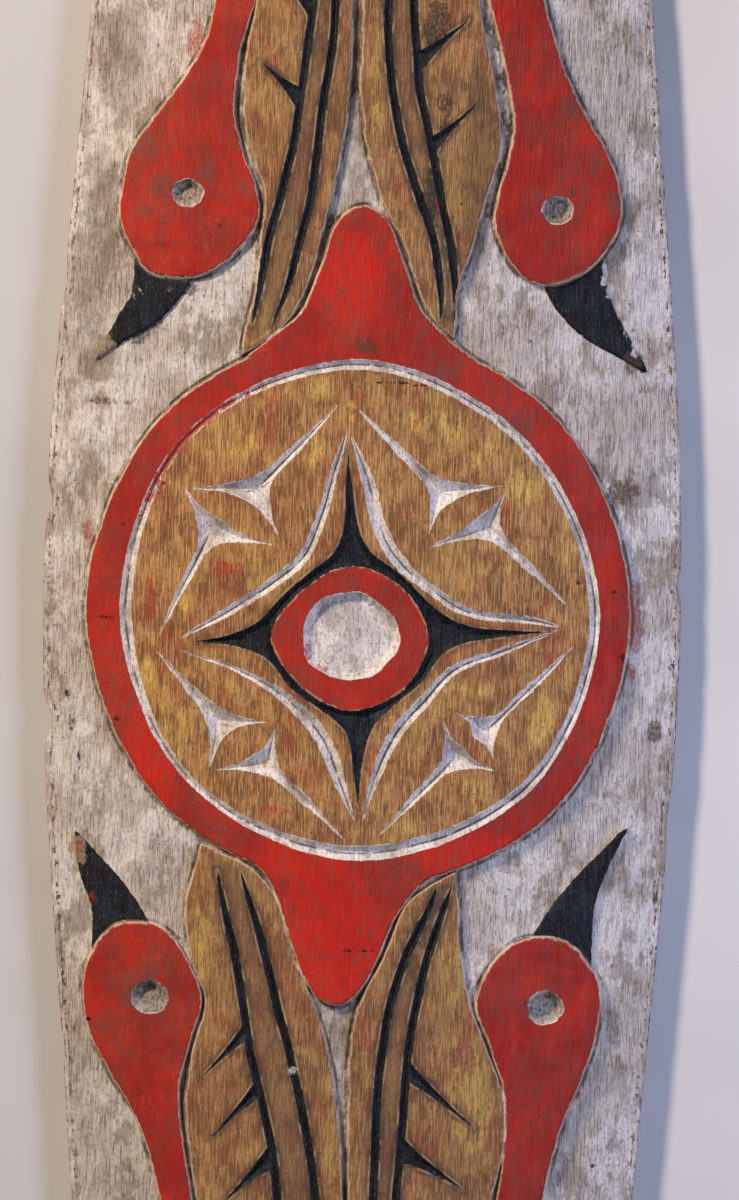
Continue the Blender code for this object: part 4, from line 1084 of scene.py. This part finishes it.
    # A band just inside each eye's edge, where painted shade is laid
    eye_rim_shade = g.both(g.step(g.map("eye"), 0.0024, 0.0004), g.step(g.map("eye"), -0.0003, 0.0002))
    far_out = g.math("SUBTRACT", 1.0, g.spot(0.0, *MEDALLION, *INSIDE_RING))
    cut_lime = g.mix(g.step(broad, 0.44, 0.66), rgb("eee8e1"), rgb("bdb3a9"))
    cut_lime = g.layers(cut_lime, [
        (stain, 0.46, 0.60, "8f8377", 0.3),
        (grit, 0.50, 0.66, "8d8074", 0.5),
        (grain, 0.56, 0.68, "7c6e62", 0.35),
        # A dark line along the creases of the ring's and the star's grooves: painted shade
        (lumps, 0.40, 0.52, "3c332b", 0.75, g.step(g.map("crease"), 0.0007, 0.0001))])
    # Each eye pit darkened all over: painted shade, with dirt
    cut_lime = g.over(cut_lime, g.step(g.map("eye"), -0.0005, 0.0025), dirt_and_shade, 0.8)
    # A dark band just inside each eye's edge: painted shade, with dirt
    cut_lime = g.layers(cut_lime, [(lumps, 0.42, 0.56, "3b332c", 0.6, eye_rim_shade)])
    cut_lime = g.over(cut_lime, g.both(g.spot(uneven, *RED_GROOVE), far_out), "a8281e", 0.9)

    colour = g.mix(area("red"), lime, red)
    for name, paint in (("ochre", ochre), ("leaf", leaf_wood), ("black", black), ("lime", cut_lime)):
        colour = g.over(colour, area(name), paint)
    raised = g.map("raised")
    wall = g.both(g.step(raised, -0.0016, -0.0011), g.step(raised, 0.0, -0.0003))
    pale = g.mix(g.step(lumps, 0.44, 0.58), rgb("cbb59c"), rgb("75614e"))
    colour = g.over(colour, wall, pale, 0.85)
    colour = g.layers(colour, [
        # A pale line along the top edge of every raised form: painted highlight, with worn paint
        (lumps, 0.46, 0.58, "e3b795", 0.65, line("raised", ragged)),
        # A dark line at the foot of every raised form: painted shade, with dirt
        (broad, 0.40, 0.58, "3d3228", 0.8, line("raised", 0.0019, 0.0013, 0.0002)),
        # A pale line along the edge of every lime cut: painted highlight
        (lumps, 0.46, 0.60, "e9e1d4", 0.7, line("lime", ragged)),
        # A tan line along the edge of the black paint: painted highlight
        (lumps, 0.46, 0.60, "cfae84", 0.45, line("black", 0.0005, 0.0008, 0.0002)),
        (grit, 0.70, 0.74, "2c241d", 0.85, g.step(stain, 0.44, 0.52))])
    # Marks laid on the paint; among them the eight brown ones inside the eyes are painted shade, and five
    # white ones along the upper right beak are a painted highlight
    for name, code, strength in (
            ("worn tip", "9d8a72", 0.85), ("red stain", "ae2a22", 0.62), ("brown", "55402f", 0.8),
            ("ink", "1f242b", 0.75), ("white", "e8e2da", 0.85), ("orange", "d08d3e", 0.8)):
        worn = g.both(area(name, 0.0009, blurred), g.step(grit, 0.34, 0.56, 0.4))
        colour = g.over(colour, worn, code, strength)
    colour = g.over(colour, area("hole", 0.0002), "17120e", 0.92)

    bare = g.mix(g.step(g.noise(80, 18, 3, 0.66, 11), 0.40, 0.62), rgb("947a5a"), rgb("6e563d"))
    bare = g.layers(bare, [
        (grain, 0.50, 0.68, "4d3b2c", 0.4),
        (fibre, 0.54, 0.66, "46362a", 0.45),
        (blotch, 0.45, 0.62, "65513c", 0.4)])
    bareness = g.math("MULTIPLY_ADD", uneven, 0.5, g.map("bare"))
    colour = g.over(colour, g.step(bareness, 0.5, 0.6), bare)

    g.put(g.shader.inputs["Base Color"], colour)
    g.put(g.shader.inputs["Roughness"], g.step(streak, 0.3, 0.7, 0.62, 0.88))
    g.shader.inputs["Specular IOR Level"].default_value = 0.28
    open_ground = g.step(raised, -0.001, -0.003, 0.3, 1.0)
    height = g.math("MULTIPLY_ADD", grain, 0.55, g.both(fibre, 0.35))
    for noise, share in ((streak, 0.3), (grit, 0.35), (g.both(lumps, open_ground), 1.7)):
        height = g.math("MULTIPLY_ADD", noise, share, height)
    bump = g.node("Bump")
    for name, value in (("Strength", 1.0), ("Distance", BUMP_HEIGHT), ("Height", height)):
        g.put(bump.inputs[name], value)
    g.put(g.shader.inputs["Normal"], bump.outputs[0])
    return g.material


def added(name, data):
    """A new object in the scene."""
    thing = bpy.data.objects.new(name, data)
    bpy.context.collection.objects.link(thing)
    return thing


def studio():
    """A pale floor, soft lights and the camera, over the middle of the photograph's frame."""
    floor = added("floor", bpy.data.meshes.new("floor"))
    sides = ((-1, -1), (1, -1), (1, 1), (-1, 1))
    corners = [(x * FLOOR_REACH, y * FLOOR_REACH, -FLOOR_GAP) for x, y in sides]
    floor.data.from_pydata(corners, [], [(0, 1, 2, 3)])
    g = Graph("floor")
    g.put(g.shader.inputs["Base Color"], g.mix(g.step(g.noise(3), 0.4, 0.6), rgb("d2d1ce"), rgb("d8d7d4")))
    g.shader.inputs["Roughness"].default_value = 0.9
    floor.data.materials.append(g.material)
    for name, place, size, power, colour in LIGHTS:
        light = bpy.data.lights.new(name, "AREA")
        light.shape = "DISK"
        light.size = size
        light.energy = power
        light.color = rgb(colour)[:3]
        lamp = added(name, light)
        lamp.location = place
        lamp.rotation_euler = (-Vector(place)).to_track_quat("-Z", "Y").to_euler()
    world = bpy.data.worlds.new("studio")
    world.use_nodes = True
    world.node_tree.nodes["Background"].inputs[0].default_value = rgb("e8ecf2")
    world.node_tree.nodes["Background"].inputs[1].default_value = WORLD_STRENGTH
    bpy.context.scene.world = world
    bpy.context.scene.view_settings.view_transform = "Standard"
    camera = added("camera", bpy.data.cameras.new("camera"))
    camera.location = (CAMERA_ASIDE, 0, CAMERA_HEIGHT)
    camera.rotation_euler = (0, 0, LEAN)
    camera.data.sensor_fit = "VERTICAL"
    camera.data.sensor_height = SENSOR
    camera.data.lens = SENSOR * (CAMERA_HEIGHT - EDGE_THICKNESS) / FRAME_HEIGHT
    bpy.context.scene.camera = camera


def build():
    """The dressed shield in its studio."""
    piece = added("carved_shield", shield())
    piece.data.materials.append(painted_wood())
    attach(piece, "root")
    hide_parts("shield")
    studio()


build()
